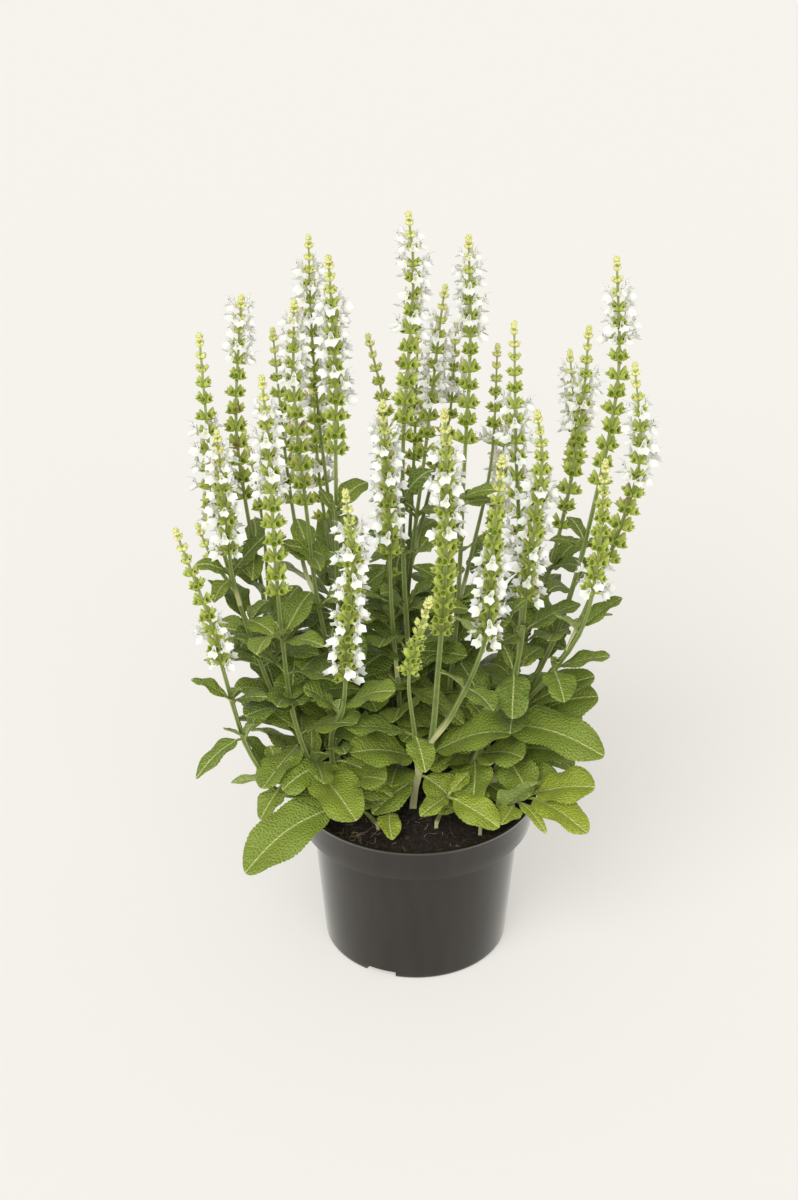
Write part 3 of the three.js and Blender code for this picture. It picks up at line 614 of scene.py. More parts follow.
class Piece:
    """A finished object of the scene, made from one surface."""

    def __init__(
        self,
        name: str,
        surface: Surface,
        finish: Material,
        nodes: tuple[str, ...],
        slot: str | None,
        crease: float = 60.0,
    ) -> None:
        """Puts the surface into a mesh, dresses it and lets it ride on the plant's body.

        Args:
            name: the piece's name.
            surface: its shape, in millimetres.
            finish: its material.
            nodes: the model's nodes that it replaces.
            slot: a material slot of the record, or None; not used.
            crease: edges that turn more than this many degrees stay sharp.
        """
        mesh = bpy.data.meshes.new(name)
        self._fill(mesh, surface)
        mesh.materials.append(finish)
        mesh.polygons.foreach_set("use_smooth", np.ones(len(mesh.polygons), bool))
        mesh.set_sharp_from_angle(angle=np.radians(crease))
        self.object = shown(name, mesh)
        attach(self.object, "root")
        if nodes:
            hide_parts(*nodes)
        LOG.info("%s: %d triangles", name, 2 * len(surface.quads) + len(surface.tris))

    @staticmethod
    def _fill(mesh: bpy.types.Mesh, surface: Surface) -> None:
        """Writes the surface's corners, faces and carried numbers into the mesh.

        Args:
            mesh: an empty mesh.
            surface: what is written into it.
        """
        quads, tris = surface.quads, surface.tris
        loops = np.concatenate([quads.ravel(), tris.ravel()]).astype(np.int32)
        starts = np.concatenate(
            [4 * np.arange(len(quads)), 4 * len(quads) + 3 * np.arange(len(tris))]
        ).astype(np.int32)
        mesh.vertices.add(len(surface.corners))
        mesh.vertices.foreach_set("co", (surface.corners * MM).astype(np.float32).ravel())
        mesh.loops.add(len(loops))
        mesh.loops.foreach_set("vertex_index", loops)
        mesh.polygons.add(len(starts))
        mesh.polygons.foreach_set("loop_start", starts)
        mesh.update(calc_edges=True)
        for layer, values in surface.layers.items():
            if values.ndim == 2:
                uv = mesh.uv_layers.new(name=layer)
                uv.uv.foreach_set("vector", values[loops].astype(np.float32).ravel())
            else:
                numbers = mesh.attributes.new(layer, "FLOAT", "POINT")
                numbers.data.foreach_set("value", values.astype(np.float32))


# ---- Finishes ----


def shade(red: float, green: float, blue: float) -> Colour:
    """A colour given in display values from 0 to 255, as the light values a shader takes.

    Args:
        red: the red value.
        green: the green value.
        blue: the blue value.

    Returns:
        The three light values, and 1 for opaque.
    """
    display = np.array([red, green, blue]) / 255.0
    light = np.where(display <= 0.04045, display / 12.92, ((display + 0.055) / 1.055) ** 2.4)
    return (*(float(value) for value in light), 1.0)


class NodeBench:
    """Builds a material: its methods add nodes and return what comes out of them."""

    def __init__(self, name: str) -> None:
        """Starts a material with one Principled shader.

        Args:
            name: the material's name.
        """
        self.material = bpy.data.materials.new(name)
        self.material.use_nodes = True
        self.tree = self.material.node_tree
        self.shader = self.tree.nodes["Principled BSDF"]

    def feed(self, socket: Socket, value: object) -> None:
        """Links an output to a socket, or sets the socket to a constant."""
        if isinstance(value, Socket):
            self.tree.links.new(value, socket)
        else:
            socket.default_value = value

    def add(
        self, kind: str, sockets: dict[str | int, object], **settings: object
    ) -> bpy.types.Node:
        """A new node.

        Args:
            kind: the name of such nodes, after "ShaderNode".
            sockets: the output or constant for each named or numbered socket.
            settings: the node's other settings.

        Returns:
            The node.
        """
        node = self.tree.nodes.new(f"ShaderNode{kind}")
        for name, value in settings.items():
            setattr(node, name, value)
        for name, value in sockets.items():
            self.feed(node.inputs[name], value)
        return node

    def place(self) -> Socket:
        """The place on the object."""
        return self.add("TexCoord", {}).outputs["Object"]

    def stretched(self, scale: Point) -> Socket:
        """The place on the object, scaled along each axis."""
        return self.add("Mapping", {"Vector": self.place(), "Scale": scale}).outputs[0]

    def layer(self, name: str) -> Socket:
        """A number that the corners carry."""
        return self.add("Attribute", {}, attribute_name=name).outputs["Fac"]

    def blade(self, name: str) -> tuple[Socket, Socket, Socket]:
        """The two numbers of a UV map.

        Args:
            name: the map's name.

        Returns:
            The first number, the second, and both as one flat place.
        """
        place = self.add("UVMap", {}, uv_map=name).outputs[0]
        across, along = self.add("SeparateXYZ", {0: place}).outputs[:2]
        return across, along, self.add("CombineXYZ", {0: across, 1: along}).outputs[0]

    def math(self, operation: str, *values: object) -> Socket:
        """A sum on numbers."""
        return self.add("Math", dict(enumerate(values)), operation=operation).outputs[0]

    def scaled(self, value: object, factor: object) -> Socket:
        """A number times a factor."""
        return self.math("MULTIPLY", value, factor)

    def scaled_on(self, value: object, factor: float, start: object) -> Socket:
        """A start plus a number times a factor."""
        return self.math("MULTIPLY_ADD", value, factor, start)

    def noise(
        self, scale: float, detail: float = 3.0, place: object = None, rough: float = 0.55
    ) -> Socket:
        """Soft noise between 0 and 1 at a scale per metre."""
        sockets = {"Scale": scale, "Detail": detail, "Roughness": rough}
        sockets["Vector"] = place or self.place()
        return self.add("TexNoise", sockets).outputs["Fac"]

    def cells(self, scale: float) -> Socket:
        """Cells at a scale per metre: the distance to the nearest middle."""
        sockets = {"Scale": scale, "Vector": self.place()}
        return self.add("TexVoronoi", sockets).outputs["Distance"]

    def net(self, scale: float, place: Socket) -> Socket:
        """Flat cells at a scale: the distance to the nearest edge."""
        kind = {"feature": "DISTANCE_TO_EDGE", "voronoi_dimensions": "2D"}
        sockets = {"Scale": scale, "Vector": place}
        return self.add("TexVoronoi", sockets, **kind).outputs["Distance"]

    def ramp(self, value: object, edge: Pair) -> Socket:
        """A smooth step from 0 at the first of a pair to 1 at the second."""
        sockets = {"Value": value, "From Min": edge[0], "From Max": edge[1]}
        kind = {"interpolation_type": "SMOOTHSTEP"}
        return self.add("MapRange", sockets, **kind).outputs["Result"]

    def mix(self, share: object, first: object, second: object) -> Socket:
        """A colour between two."""
        sockets = {0: share, 6: first, 7: second}
        return self.add("Mix", sockets, data_type="RGBA").outputs[2]

    def bump(self, height: object, depth: float, strength: float = 1.0) -> None:
        """Raises the surface by a height, depth metres for each one."""
        sockets = {"Strength": strength, "Distance": depth, "Height": height}
        self.feed(self.shader.inputs["Normal"], self.add("Bump", sockets).outputs[0])

    def dressed(self, **values: object) -> Material:
        """The material, with its shader's sockets set or linked; underscores are spaces."""
        for name, value in values.items():
            self.feed(self.shader.inputs[name.replace("_", " ")], value)
        return self.material


def soft_skin(
    fuzz: float, through: float, spread: float = 0.5, depth: float = 0.001
) -> dict[str, float]:
    """The sockets of a living skin.

    Args:
        fuzz: how much of its fine hairs shows.
        through: how much light gets into it.
        spread: how soft the shine of the hairs is.
        depth: how deep light gets, in metres.

    Returns:
        A constant for each socket.
    """
    names = ("Sheen_Weight", "Subsurface_Weight", "Sheen_Roughness", "Subsurface_Scale")
    return dict(zip(names, (fuzz, through, spread, depth)))


@dataclass(frozen=True)
class PotPlastic:
    """Dark warm-grey glossy plastic: faint upright flow marks, dust and dried splashes."""

    dark: Colour = shade(24, 17, 9)
    worn: Colour = shade(32, 25, 16)
    dust: Colour = shade(118, 110, 98)
    flow_stretch: Point = (1.0, 1.0, 0.12)
    flow_scale: float = 90.0
    flow_edge: Pair = (0.35, 0.7)
    speck_scale: float = 420.0
    speck_edge: Pair = (0.16, 0.05)
    patch_scale: float = 60.0
    patch_edge: Pair = (0.56, 0.72)
    dust_share: float = 0.35
    least_rough: float = 0.14
    flow_rough: float = 0.12

    def material(self) -> Material:
        """Builds the nodes.

        Returns:
            The pot's material.
        """
        bench = NodeBench("pot_plastic")
        flow = bench.noise(self.flow_scale, 4.0, bench.stretched(self.flow_stretch))
        base = bench.mix(bench.ramp(flow, self.flow_edge), self.dark, self.worn)
        specks = bench.ramp(bench.cells(self.speck_scale), self.speck_edge)
        rare = bench.ramp(bench.noise(self.patch_scale, 2.0), self.patch_edge)
        dusty = bench.scaled(bench.scaled(specks, rare), self.dust_share)
        grain = bench.scaled_on(bench.noise(900.0, 2.0), 0.4, bench.noise(40.0, 2.0))
        bench.bump(grain, 0.00012, 0.4)
        return bench.dressed(
            Base_Color=bench.mix(dusty, base, self.dust),
            Roughness=bench.scaled_on(flow, self.flow_rough, self.least_rough),
            Specular_IOR_Level=0.1,
            Coat_Weight=0.88,
            Coat_Roughness=0.08,
        )


@dataclass(frozen=True)
class PeatFinish:
    """Damp peat: near-black crumb with brown and grey-brown grains."""

    wet: Colour = shade(20, 15, 10)
    brown: Colour = shade(64, 50, 34)
    pale: Colour = shade(112, 92, 66)
    crumb_scale: float = 520.0
    crumb_edge: Pair = (0.42, 0.72)
    grain_edge: Pair = (0.62, 0.75)
    patch_scale: float = 90.0
    patch_edge: Pair = (0.5, 0.7)

    def material(self) -> Material:
        """Builds the nodes.

        Returns:
            The peat's material.
        """
        bench = NodeBench("peat")
        crumb = bench.noise(self.crumb_scale, 6.0, rough=0.7)
        patch = bench.ramp(bench.noise(self.patch_scale), self.patch_edge)
        base = bench.mix(bench.ramp(crumb, self.crumb_edge), self.wet, self.brown)
        grain = bench.scaled(bench.ramp(crumb, self.grain_edge), patch)
        bench.bump(crumb, 0.0012, 0.9)
        return bench.dressed(Base_Color=bench.mix(grain, base, self.pale), Roughness=0.93)


@dataclass(frozen=True)
class ChaffFinish:
    """Loose bits on the peat: straw, bark and fibre, each a little different in colour."""

    straw: Colour = shade(150, 132, 100)
    bark: Colour = shade(46, 34, 24)
    tone_edge: Pair = (0.4, 1.4)

    def material(self) -> Material:
        """Builds the nodes.

        Returns:
            The loose bits' material.
        """
        bench = NodeBench("peat_bits")
        tone = bench.scaled_on(bench.noise(800.0), 0.5, bench.layer("tone"))
        base = bench.mix(bench.ramp(tone, self.tone_edge), self.bark, self.straw)
        bench.bump(bench.noise(2400.0), 0.0002, 0.6)
        return bench.dressed(Base_Color=base, Roughness=0.88)


@dataclass(frozen=True)
class LeafFinish:
    """A wrinkled sage leaf: green, with a pale rib, side veins and net, and a grey underside.

    The edges of rib and side veins are in millimetres, the net's scale is for a millimetre.
    """

    deep: Colour = shade(88, 110, 30)
    green: Colour = shade(118, 137, 38)
    young: Colour = shade(151, 164, 42)
    vein: Colour = shade(176, 190, 98)
    rib: Colour = shade(214, 218, 150)
    under: Colour = shade(150, 166, 92)
    green_edge: Pair = (0.2, 0.75)
    young_edge: Pair = (0.85, 1.3)
    rib_edge: Pair = (0.66, 0.26)
    side_edge: Pair = (0.5, 0.12)
    net_edge: Pair = (0.1, 0.0)
    puff_edge: Pair = (0.0, 0.5)
    net_scale: float = 0.42
    rib_share: float = 0.66
    side_share: float = 0.46
    net_share: float = 0.3
    under_share: float = 0.75

    def material(self) -> Material:
        """Builds the nodes.

        Returns:
            The leaves' material.
        """
        bench = NodeBench("leaf")
        across, along, flat = bench.blade("blade")
        off, below = bench.math("ABSOLUTE", across), bench.layer("under")
        tone = bench.scaled_on(bench.noise(45.0), 0.5, bench.layer("tone"))
        base = bench.mix(bench.ramp(tone, self.green_edge), self.deep, self.green)
        base = bench.mix(bench.ramp(tone, self.young_edge), base, self.young)
        wave = bench.scaled_on(bench.noise(0.35, 1.0, flat), 1.6, along)
        lean = bench.scaled_on(off, -RULES.vein_lean, wave)
        spread = bench.math("PINGPONG", lean, bench.layer("vein_step"))
        side = bench.ramp(spread, self.side_edge)
        cell = bench.net(self.net_scale, flat)
        net = bench.scaled(bench.ramp(cell, self.net_edge), self.net_share)
        veins = bench.math("MAXIMUM", net, bench.scaled(side, self.side_share))
        base = bench.mix(veins, base, self.vein)
        rib = bench.scaled(bench.ramp(off, self.rib_edge), self.rib_share)
        base = bench.mix(rib, base, self.rib)
        base = bench.mix(bench.scaled(below, self.under_share), base, self.under)
        puff = bench.math("SUBTRACT", bench.ramp(cell, self.puff_edge), bench.scaled(side, 0.8))
        upwards = bench.scaled_on(bench.math("SUBTRACT", 1.0, below), 2.0, -1.0)
        raised = bench.scaled(puff, upwards)
        bench.bump(bench.scaled_on(bench.noise(1500.0, 2.0), 0.2, raised), 0.0005)
        return bench.dressed(
            Base_Color=base,
            Roughness=0.42,
            Specular_IOR_Level=0.45,
            **soft_skin(0.04, 0.08),
        )


@dataclass(frozen=True)
class StemFinish:
    """A square stem: green with paler ridges, whitish at its foot and pale in its spike."""

    green: Colour = shade(98, 114, 46)
    ridge: Colour = shade(148, 160, 90)
    spike: Colour = shade(156, 168, 90)
    foot: Colour = shade(216, 216, 158)
    ridge_edge: Pair = (0.3, 0.95)
    spike_edge: Pair = (0.5, 0.8)
    foot_edge: Pair = (0.16, 0.05)
    spike_share: float = 0.75
    foot_share: float = 0.85

    def material(self) -> Material:
        """Builds the nodes.

        Returns:
            The stems' material.
        """
        bench = NodeBench("stem")
        rise = bench.layer("rise")
        corner = bench.scaled(bench.layer("ridge"), 0.6)
        ridge = bench.scaled_on(bench.noise(160.0, 4.0), 0.5, corner)
        base = bench.mix(bench.ramp(ridge, self.ridge_edge), self.green, self.ridge)
        high = bench.scaled(bench.ramp(rise, self.spike_edge), self.spike_share)
        base = bench.mix(high, base, self.spike)
        low = bench.scaled(bench.ramp(rise, self.foot_edge), self.foot_share)
        base = bench.mix(low, base, self.foot)
        bench.bump(bench.noise(1800.0, 2.0), 0.0002, 0.5)
        return bench.dressed(Base_Color=base, Roughness=0.5, **soft_skin(0.12, 0.1, 0.4))


@dataclass(frozen=True)
class CalyxFinish:
    """Calyces and bracts: yellow-green, their throats a deeper green with painted shade on top,
    some teeth brown and withered.
    """

    pale: Colour = shade(228, 226, 152)
    green: Colour = shade(165, 183, 62)
    # The throat colour is partly the calyx's own deeper green inside and partly painted shade of
    # its mouth.
    throat: Colour = shade(84, 110, 8)
    withered: Colour = shade(150, 104, 84)
    age_edge: Pair = (0.0, 0.6)
    rib_share: float = 0.6

    def material(self) -> Material:
        """Builds the nodes.

        Returns:
            The calyces' material.
        """
        bench = NodeBench("calyx")
        grown = bench.math("SUBTRACT", bench.layer("age"), 0.2)
        age = bench.scaled_on(bench.noise(420.0), 0.4, grown)
        base = bench.mix(bench.ramp(age, self.age_edge), self.pale, self.green)
        base = bench.mix(bench.scaled(bench.layer("rib"), self.rib_share), base, self.pale)
        # Painted shade: the inner ring of each mouth, and faintly every bract, is darkened towards
        # the throat colour.
        base = bench.mix(bench.layer("inside"), base, self.throat)
        base = bench.mix(bench.layer("withered"), base, self.withered)
        bench.bump(bench.noise(2600.0, 2.0), 0.0002, 0.5)
        return bench.dressed(
            Base_Color=base,
            Roughness=0.55,
            Specular_IOR_Level=0.3,
            **soft_skin(0.05, 0.2, 0.4, 0.0012),
        )


@dataclass(frozen=True)
class PetalFinish:
    """White petals, faintly green in the throat, with dark anthers and dull styles."""

    white: Colour = shade(242, 240, 235)
    throat: Colour = shade(218, 220, 194)
    anther: Colour = shade(104, 88, 92)

    def material(self) -> Material:
        """Builds the nodes.

        Returns:
            The flowers' material.
        """
        bench = NodeBench("petal")
        base = bench.mix(bench.layer("inside"), self.white, self.throat)
        bench.bump(bench.noise(1500.0), 0.0002, 0.4)
        base = bench.mix(bench.layer("dark"), base, self.anther)
        return bench.dressed(Base_Color=base, Roughness=0.5, **soft_skin(0.1, 0.2))


@dataclass(frozen=True)
class PaperFinish:
    """The plain pale floor: a matt sheet with faint clouds and a weak light of its own."""

    tone: Colour = shade(180, 178, 176)
    cloud: Colour = shade(175, 173, 171)
    glow: Colour = shade(245, 243, 233)
    glow_strength: float = 0.5
    cloud_share: float = 0.1

    def material(self) -> Material:
        """Builds the nodes.

        Returns:
            The floor's material.
        """
        bench = NodeBench("studio_paper")
        cloud = bench.scaled(bench.noise(3.0, 2.0), self.cloud_share)
        return bench.dressed(
            Base_Color=bench.mix(cloud, self.tone, self.cloud),
            Roughness=0.95,
            Emission_Color=self.glow,
            Emission_Strength=self.glow_strength,
        )


# ---- Leaves ----


@dataclass(frozen=True)
class LeafPlace:
    """Where one leaf is, in millimetres, and what is its own.

    Roll is its turn about its own length in degrees, tone how fresh its green is, seed its own
    draw and blunt 0 for a pointed leaf, 1 for an oblong one. A coarse leaf has fewer faces.
    """

    root: Array
    tip: Array
    width: float
    arch: float
    roll: float
    tone: float
    seed: float
    blunt: float
    coarse: bool = False

    @property
    def length(self) -> float:
        """The straight way from root to tip."""
        return float(np.linalg.norm(self.tip - self.root))


@dataclass(frozen=True)
class LeafForm:
    """The shape shared by all leaves, in millimetres.

    The midrib is the line from root to tip lifted by 4 arch s (1 - s). The half width lies
    between a pointed form, share^0.45 (1 - share)^0.75, and a blunt one,
    (1 - |2 share - 1|^2.6)^0.6, with scalloped edges that swing in and out on each side. The
    blade is folded up along its rib, puffed between its side veins, waved along its edges,
    bent sideways by sway 4 s (1 - s) and twisted from its root to its tip.
    """

    across: int = 11
    station: float = 1.3
    coarse_across: int = 7
    coarse_station: float = 2.4
    thickness: float = 0.6
    edge: float = 0.38
    rib: float = 1.1
    petiole: float = 1.1
    rise_power: float = 0.45
    fall_power: float = 0.75
    blunt_power: float = 2.6
    blunt_round: float = 0.6
    scallop: float = 0.08
    scallop_step: float = 3.6
    pillow: float = 0.07
    pucker: float = 0.6
    groove: float = 0.45
    wave: float = 0.15
    wave_count: float = 2.2
    swing: float = 0.09
    swing_count: float = 1.7
    sway: float = 0.05
    twist: float = 26.0
    least_veins: float = 7.0
    vein_gap: float = 5.5

    def vein_step(self, length: float) -> float:
        """Half the distance between side veins."""
        return 0.5 * length / max(self.least_veins, length / self.vein_gap)

    def half_width(self, share: Array, place: LeafPlace) -> Array:
        """Half the blade's width at shares of its length, scalloped at its edges.

        Args:
            share: places along the blade, from 0 to 1.
            place: where the leaf is.

        Returns:
            Half the width at each place.
        """
        inside = np.clip(share, 0.0, 1.0)
        peak = self.rise_power / (self.rise_power + self.fall_power)
        most = peak**self.rise_power * (1.0 - peak) ** self.fall_power
        pointed = inside**self.rise_power * (1.0 - inside) ** self.fall_power / most
        square = 1.0 - np.abs(2.0 * inside - 1.0) ** self.blunt_power
        round_ended = square**self.blunt_round * (1.03 - 0.06 * inside)
        form = pointed + (round_ended - pointed) * place.blunt
        teeth = np.round(place.length / self.scallop_step)
        lobes = np.abs(np.sin(np.pi * teeth * inside)) ** 0.7 - 0.6
        return np.maximum(0.5 * place.width * form * (1.0 + self.scallop * lobes), 0.0)

    def surface(self, place: LeafPlace) -> Surface:
        """The blade and its stalk as one thin closed shell.

        Args:
            place: where the leaf is.

        Returns:
            Its surface, with the UV map "blade" in millimetres across and along it.
        """
        chord, length = place.tip - place.root, place.length
        station = self.coarse_station if place.coarse else self.station
        columns = self.coarse_across if place.coarse else self.across
        count = max(12, int(length / station))
        s = np.linspace(0.006, 0.994, count)[:, None]
        luck = 2.0 * np.asarray([draw(place.seed, k) for k in (1.0, 2.0)]) - 1.0
        flat_side = unit(np.cross(chord, UP))
        roll = place.roll + self.twist * luck[0] * (s[:, 0] - 0.45)
        side = turned(flat_side, chord / length, np.radians(roll))
        bow = UP * place.arch + flat_side * (self.sway * luck[1] * length)
        middle = place.root + chord * s + bow * (4.0 * s * (1.0 - s))
        tangent = chord + bow * (4.0 * (1.0 - 2.0 * s))
        face = unit(np.cross(side, tangent))
        blade = self.half_width((s - RULES.stalk_share) / (1.0 - RULES.stalk_share), place)
        half = np.maximum(blade, self.petiole * np.clip((1.0 - s) * 8.0, 0.0, 1.0))
        row = np.linspace(-1.0, 1.0, columns)
        v = np.concatenate([row, row[::-1]])[None, :]
        below = np.repeat([0.0, 1.0], columns)[None, :]
        turns = self.swing_count * s + 6.0 * place.seed + 0.43 * (v > 0.0)
        wide = half * (1.0 + self.swing * np.sin(TAU * turns) * np.abs(v))
        grown = np.clip(blade / (0.25 * place.width), 0.0, 1.0)
        height = self._relief(place, (s, v, below), half, wide, grown)
        rings = (
            middle[:, None, :]
            + side[:, None, :] * (wide * v)[..., None]
            + face[:, None, :] * height[..., None]
        )
        shape = (count, 2 * columns)
        flat = stacked(wide * v, s * length)
        layers = {
            "blade": flat[None],
            "under": np.broadcast_to(below, shape)[None],
            "tone": np.full((1, *shape), place.tone),
            "vein_step": np.full((1, *shape), self.vein_step(length)),
        }
        return closed_tubes(rings[None], place.root, place.tip, layers)

    def _relief(
        self,
        place: LeafPlace,
        grid: tuple[Array, Array, Array],
        half: Array,
        wide: Array,
        grown: Array,
    ) -> Array:
        """How high the upper and the under side lie over the flat of a leaf.

        Args:
            place: where the leaf is.
            grid: the share of its length, the place across from -1 to 1, and 1 underneath.
            half: half its width.
            wide: half its width, with its swinging edges.
            grown: 0 on the leaf stalk, 1 on the blade.

        Returns:
            The height in millimetres for each point.
        """
        s, v, below = grid
        off = np.abs(v)
        reach = wide * off
        lift = half * (self.pillow * np.sin(np.pi * off) - RULES.leaf_fold * (1.0 - off**1.4))
        run = s * place.length - RULES.vein_lean * reach
        run = run / (2.0 * self.vein_step(place.length))
        puffs = np.abs(np.sin(np.pi * run)) ** 0.8 * np.sin(np.pi * off**0.8)
        waves = np.sin(TAU * (self.wave_count * s + 6.0 * place.seed + 0.37 * (v > 0.0)))
        lift = lift + (self.pucker * puffs + self.wave * half * waves * off**2) * grown
        thick = self.edge + (self.thickness - self.edge) * (1.0 - off**3)
        thick = thick + self.rib * bell(reach, 1.0) * (1.0 - 0.75 * s)
        groove = self.groove * bell(reach, 0.8) * grown
        return lift + np.where(below > 0.5, -0.5 * thick, 0.5 * thick - groove)


LEAF = LeafForm()


@dataclass(frozen=True)
class LeafHabit:
    """How the leaves of one kind vary: each range is its least value and its spread.

    Args:
        length: the length, as a share of what is usual at the leaf's height.
        turn: degrees round the stem, from the leaf's planned side.
        rise: degrees above the planned rise.
        width: the width, as a share of the length.
        arch: the lift of the midrib, as a share of the length.
        roll: the turn about the leaf's own length, in degrees.
        draws: which draws of its series width, arch, roll and tone take.
        coarse: whether the leaves are built of fewer faces.
    """

    length: Pair
    turn: Pair
    rise: Pair
    width: Pair
    arch: Pair
    roll: Pair
    draws: tuple[int, int, int, int]
    coarse: bool

    def leaves(
        self,
        stem: tuple[StemPlan, MiddleLine],
        share: float,
        azimuth: float,
        rise: float,
        scale: float,
        first: float,
        count: int = 2,
    ) -> list[LeafPlace]:
        """One leaf of the kind, or two opposite each other.

        Args:
            stem: the stem's plan and its middle line.
            share: how far up the bare stem they grow.
            azimuth: the planned side of the first, in degrees.
            rise: their planned rise, in degrees.
            scale: their size, 1 for full leaves.
            first: the number of the first draw.
            count: how many.

        Returns:
            Their places.
        """
        plan, line = stem
        root = line.on_step(line.bare * share)
        usual = np.interp(root[2], *zip(RULES.leaf_low, RULES.leaf_high))

        def drawn(span: Pair, side: int, number: int) -> float:
            """A value in a range, by one of a leaf's draws."""
            return float(draw_from(*span, plan.seed, first + 10.0 * side + number))

        places = []
        for side in range(count):
            length = usual * scale * drawn(self.length, side, 0)
            turn = np.radians(azimuth + 180.0 * side + drawn(self.turn, side, 1))
            lean = np.radians(rise + drawn(self.rise, side, 2))
            flat = np.cos(lean)
            tip = root + length * np.array([flat * np.cos(turn), flat * np.sin(turn), np.sin(lean)])
            at_width, at_arch, at_roll, at_tone = self.draws
            width = float(length * drawn(self.width, side, at_width))
            arch = float(length * drawn(self.arch, side, at_arch))
            roll = drawn(self.roll, side, at_roll)
            tone = leaf_tone(root[2], drawn((0.0, 1.0), side, at_tone), plan)
            seed, blunt = drawn((0.0, 1.0), side, 7), bluntness(root[2])
            places.append(LeafPlace(root, tip, width, arch, roll, tone, seed, blunt, self.coarse))
        return places


PAIRED = LeafHabit(
    length=(0.85, 0.3), turn=(-22.0, 44.0), rise=(-14.0, 48.0), width=(0.4, 0.12),
    arch=(0.08, 0.12), roll=(-25.0, 50.0), draws=(3, 4, 5, 6), coarse=False,
)
INNER = LeafHabit(
    length=(0.8, 0.4), turn=(-30.0, 60.0), rise=(-14.0, 28.0), width=(0.4, 0.12),
    arch=(0.08, 0.14), roll=(-30.0, 60.0), draws=(4, 5, 6, 3), coarse=True,
)


def paired_leaves(plan: StemPlan, line: MiddleLine) -> list[LeafPlace]:
    """The leaves of a stem's pairs, each pair a quarter turn from the last.

    Args:
        plan: the stem.
        line: its middle line.

    Returns:
        Their places, two for each pair.
    """
    stem, places = (plan, line), []
    for pair, share in enumerate(plan.pair_shares()):
        places += PAIRED.leaves(stem, share, plan.turn + 90.0 * pair, 0.0, 1.0, 20.0 * pair)
    return places


def placed_leaves(plan: StemPlan, leaves: tuple[Leaf, ...], line: MiddleLine) -> list[LeafPlace]:
    """The single leaves of a stem or side stem.

    Args:
        plan: the stem that they belong to.
        leaves: what the plan says of them.
        line: the middle line they grow from.

    Returns:
        Their places.
    """
    places = []
    for number, leaf in enumerate(leaves):
        root, tip = line.on_step(leaf.share * line.length), np.array(leaf.tip, float)
        arch = RULES.placed_arch * float(np.linalg.norm(tip - root))
        luck = draw(plan.seed, 500 + number)
        tone = leaf_tone(root[2], luck, plan) + leaf.fresh
        width = leaf.width * float(np.interp(leaf.width, [14.0, 34.0], RULES.fullness))
        blunt = float(np.interp(leaf.width, [10.0, 20.0], [0.2, 1.0]))
        places.append(LeafPlace(root, tip, width, arch, leaf.roll, tone, float(luck), blunt))
    return places


def inner_leaves(plan: StemPlan, line: MiddleLine) -> list[LeafPlace]:
    """Smaller leaves between the pairs and in their axils, which fill the plant's middle.

    Args:
        plan: the stem.
        line: its middle line.

    Returns:
        Their places: two at each joint of a flowering stem, two small ones in the axils of
        each pair, and one at the foot of each low single leaf of a flowering stem.
    """
    stem, places = (plan, line), []
    for joint, share in enumerate(RULES.inner_joints if plan.pairs and plan.spike else ()):
        azimuth, first = plan.turn + 45.0 + 90.0 * joint, 1000.0 + 20.0 * joint
        places += INNER.leaves(stem, share, azimuth, 24.0, 0.8 + 0.3 * share, first)
    for pair, share in enumerate(plan.pair_shares()):
        azimuth, first = plan.turn + 90.0 * pair, 1200.0 + 20.0 * pair
        places += INNER.leaves(stem, share, azimuth, 52.0, 0.42, first)
    for number, leaf in enumerate(plan.leaves):
        share = leaf.share * line.length / line.bare
        if share < 0.95 and plan.spike:
            azimuth, first = 360.0 * draw(plan.seed, 1400.0 + number), 1500.0 + 10.0 * number
            places += INNER.leaves(stem, share, azimuth, 50.0, 0.36, first, count=1)
    return places


def bluntness(z: float) -> float:
    """How blunt a leaf is that grows at a height: low leaves are oblong, high ones pointed."""
    return float(np.interp(z, [170.0, 290.0], [1.0, 0.15]))


def leaf_tone(z: float, luck: float, plan: StemPlan) -> float:
    """How fresh a leaf's green is: freshest low down and on the stems that FRESHNESS names."""
    low = np.interp(z, [125.0, 190.0], [0.42, 0.0])
    return float(0.05 + low + 0.5 * luck + FRESHNESS.get(plan.node, 0.0))


# ---- Spikes ----


@dataclass(frozen=True)
class Seats:
    """Where the calyces or flowers of a spike sit: arrays with one entry for each.

    Args:
        base: the points they grow from.
        axis: the ways they point.
        over: the ways that are up for them, across their axes.
        size: their lengths in millimetres.
        age: 0 for buds at the tip, 1 for calyces that are grown.
        luck: a draw of its own for each.
    """

    base: Array
    axis: Array
    over: Array
    size: Array
    age: Array
    luck: Array

    def placed(self, shape: Array) -> Array:
        """Puts local points in their places.

        Args:
            shape: points [seat, ..., 3]: along the axis, beside it and over it.

        Returns:
            The points in the plant.
        """
        extra = (1,) * (shape.ndim - 2)
        grown = shape * self.size.reshape(-1, *extra, 1)
        base, axis, beside, over = (
            vectors.reshape(-1, *extra, 3)
            for vectors in (self.base, self.axis, np.cross(self.over, self.axis), self.over)
        )
        return base + axis * grown[..., :1] + beside * grown[..., 1:2] + over * grown[..., 2:3]

    def ends(self, foot: Point, tip: Point) -> tuple[Array, Array]:
        """The same two local points put in their places for every seat."""
        count = len(self.size)
        return self.placed(np.tile(foot, (count, 1))), self.placed(np.tile(tip, (count, 1)))

    def chosen(self, keep: Array) -> "Seats":
        """Only the seats that keep says."""
        return Seats(
            self.base[keep], self.axis[keep], self.over[keep],
            self.size[keep], self.age[keep], self.luck[keep],
        )


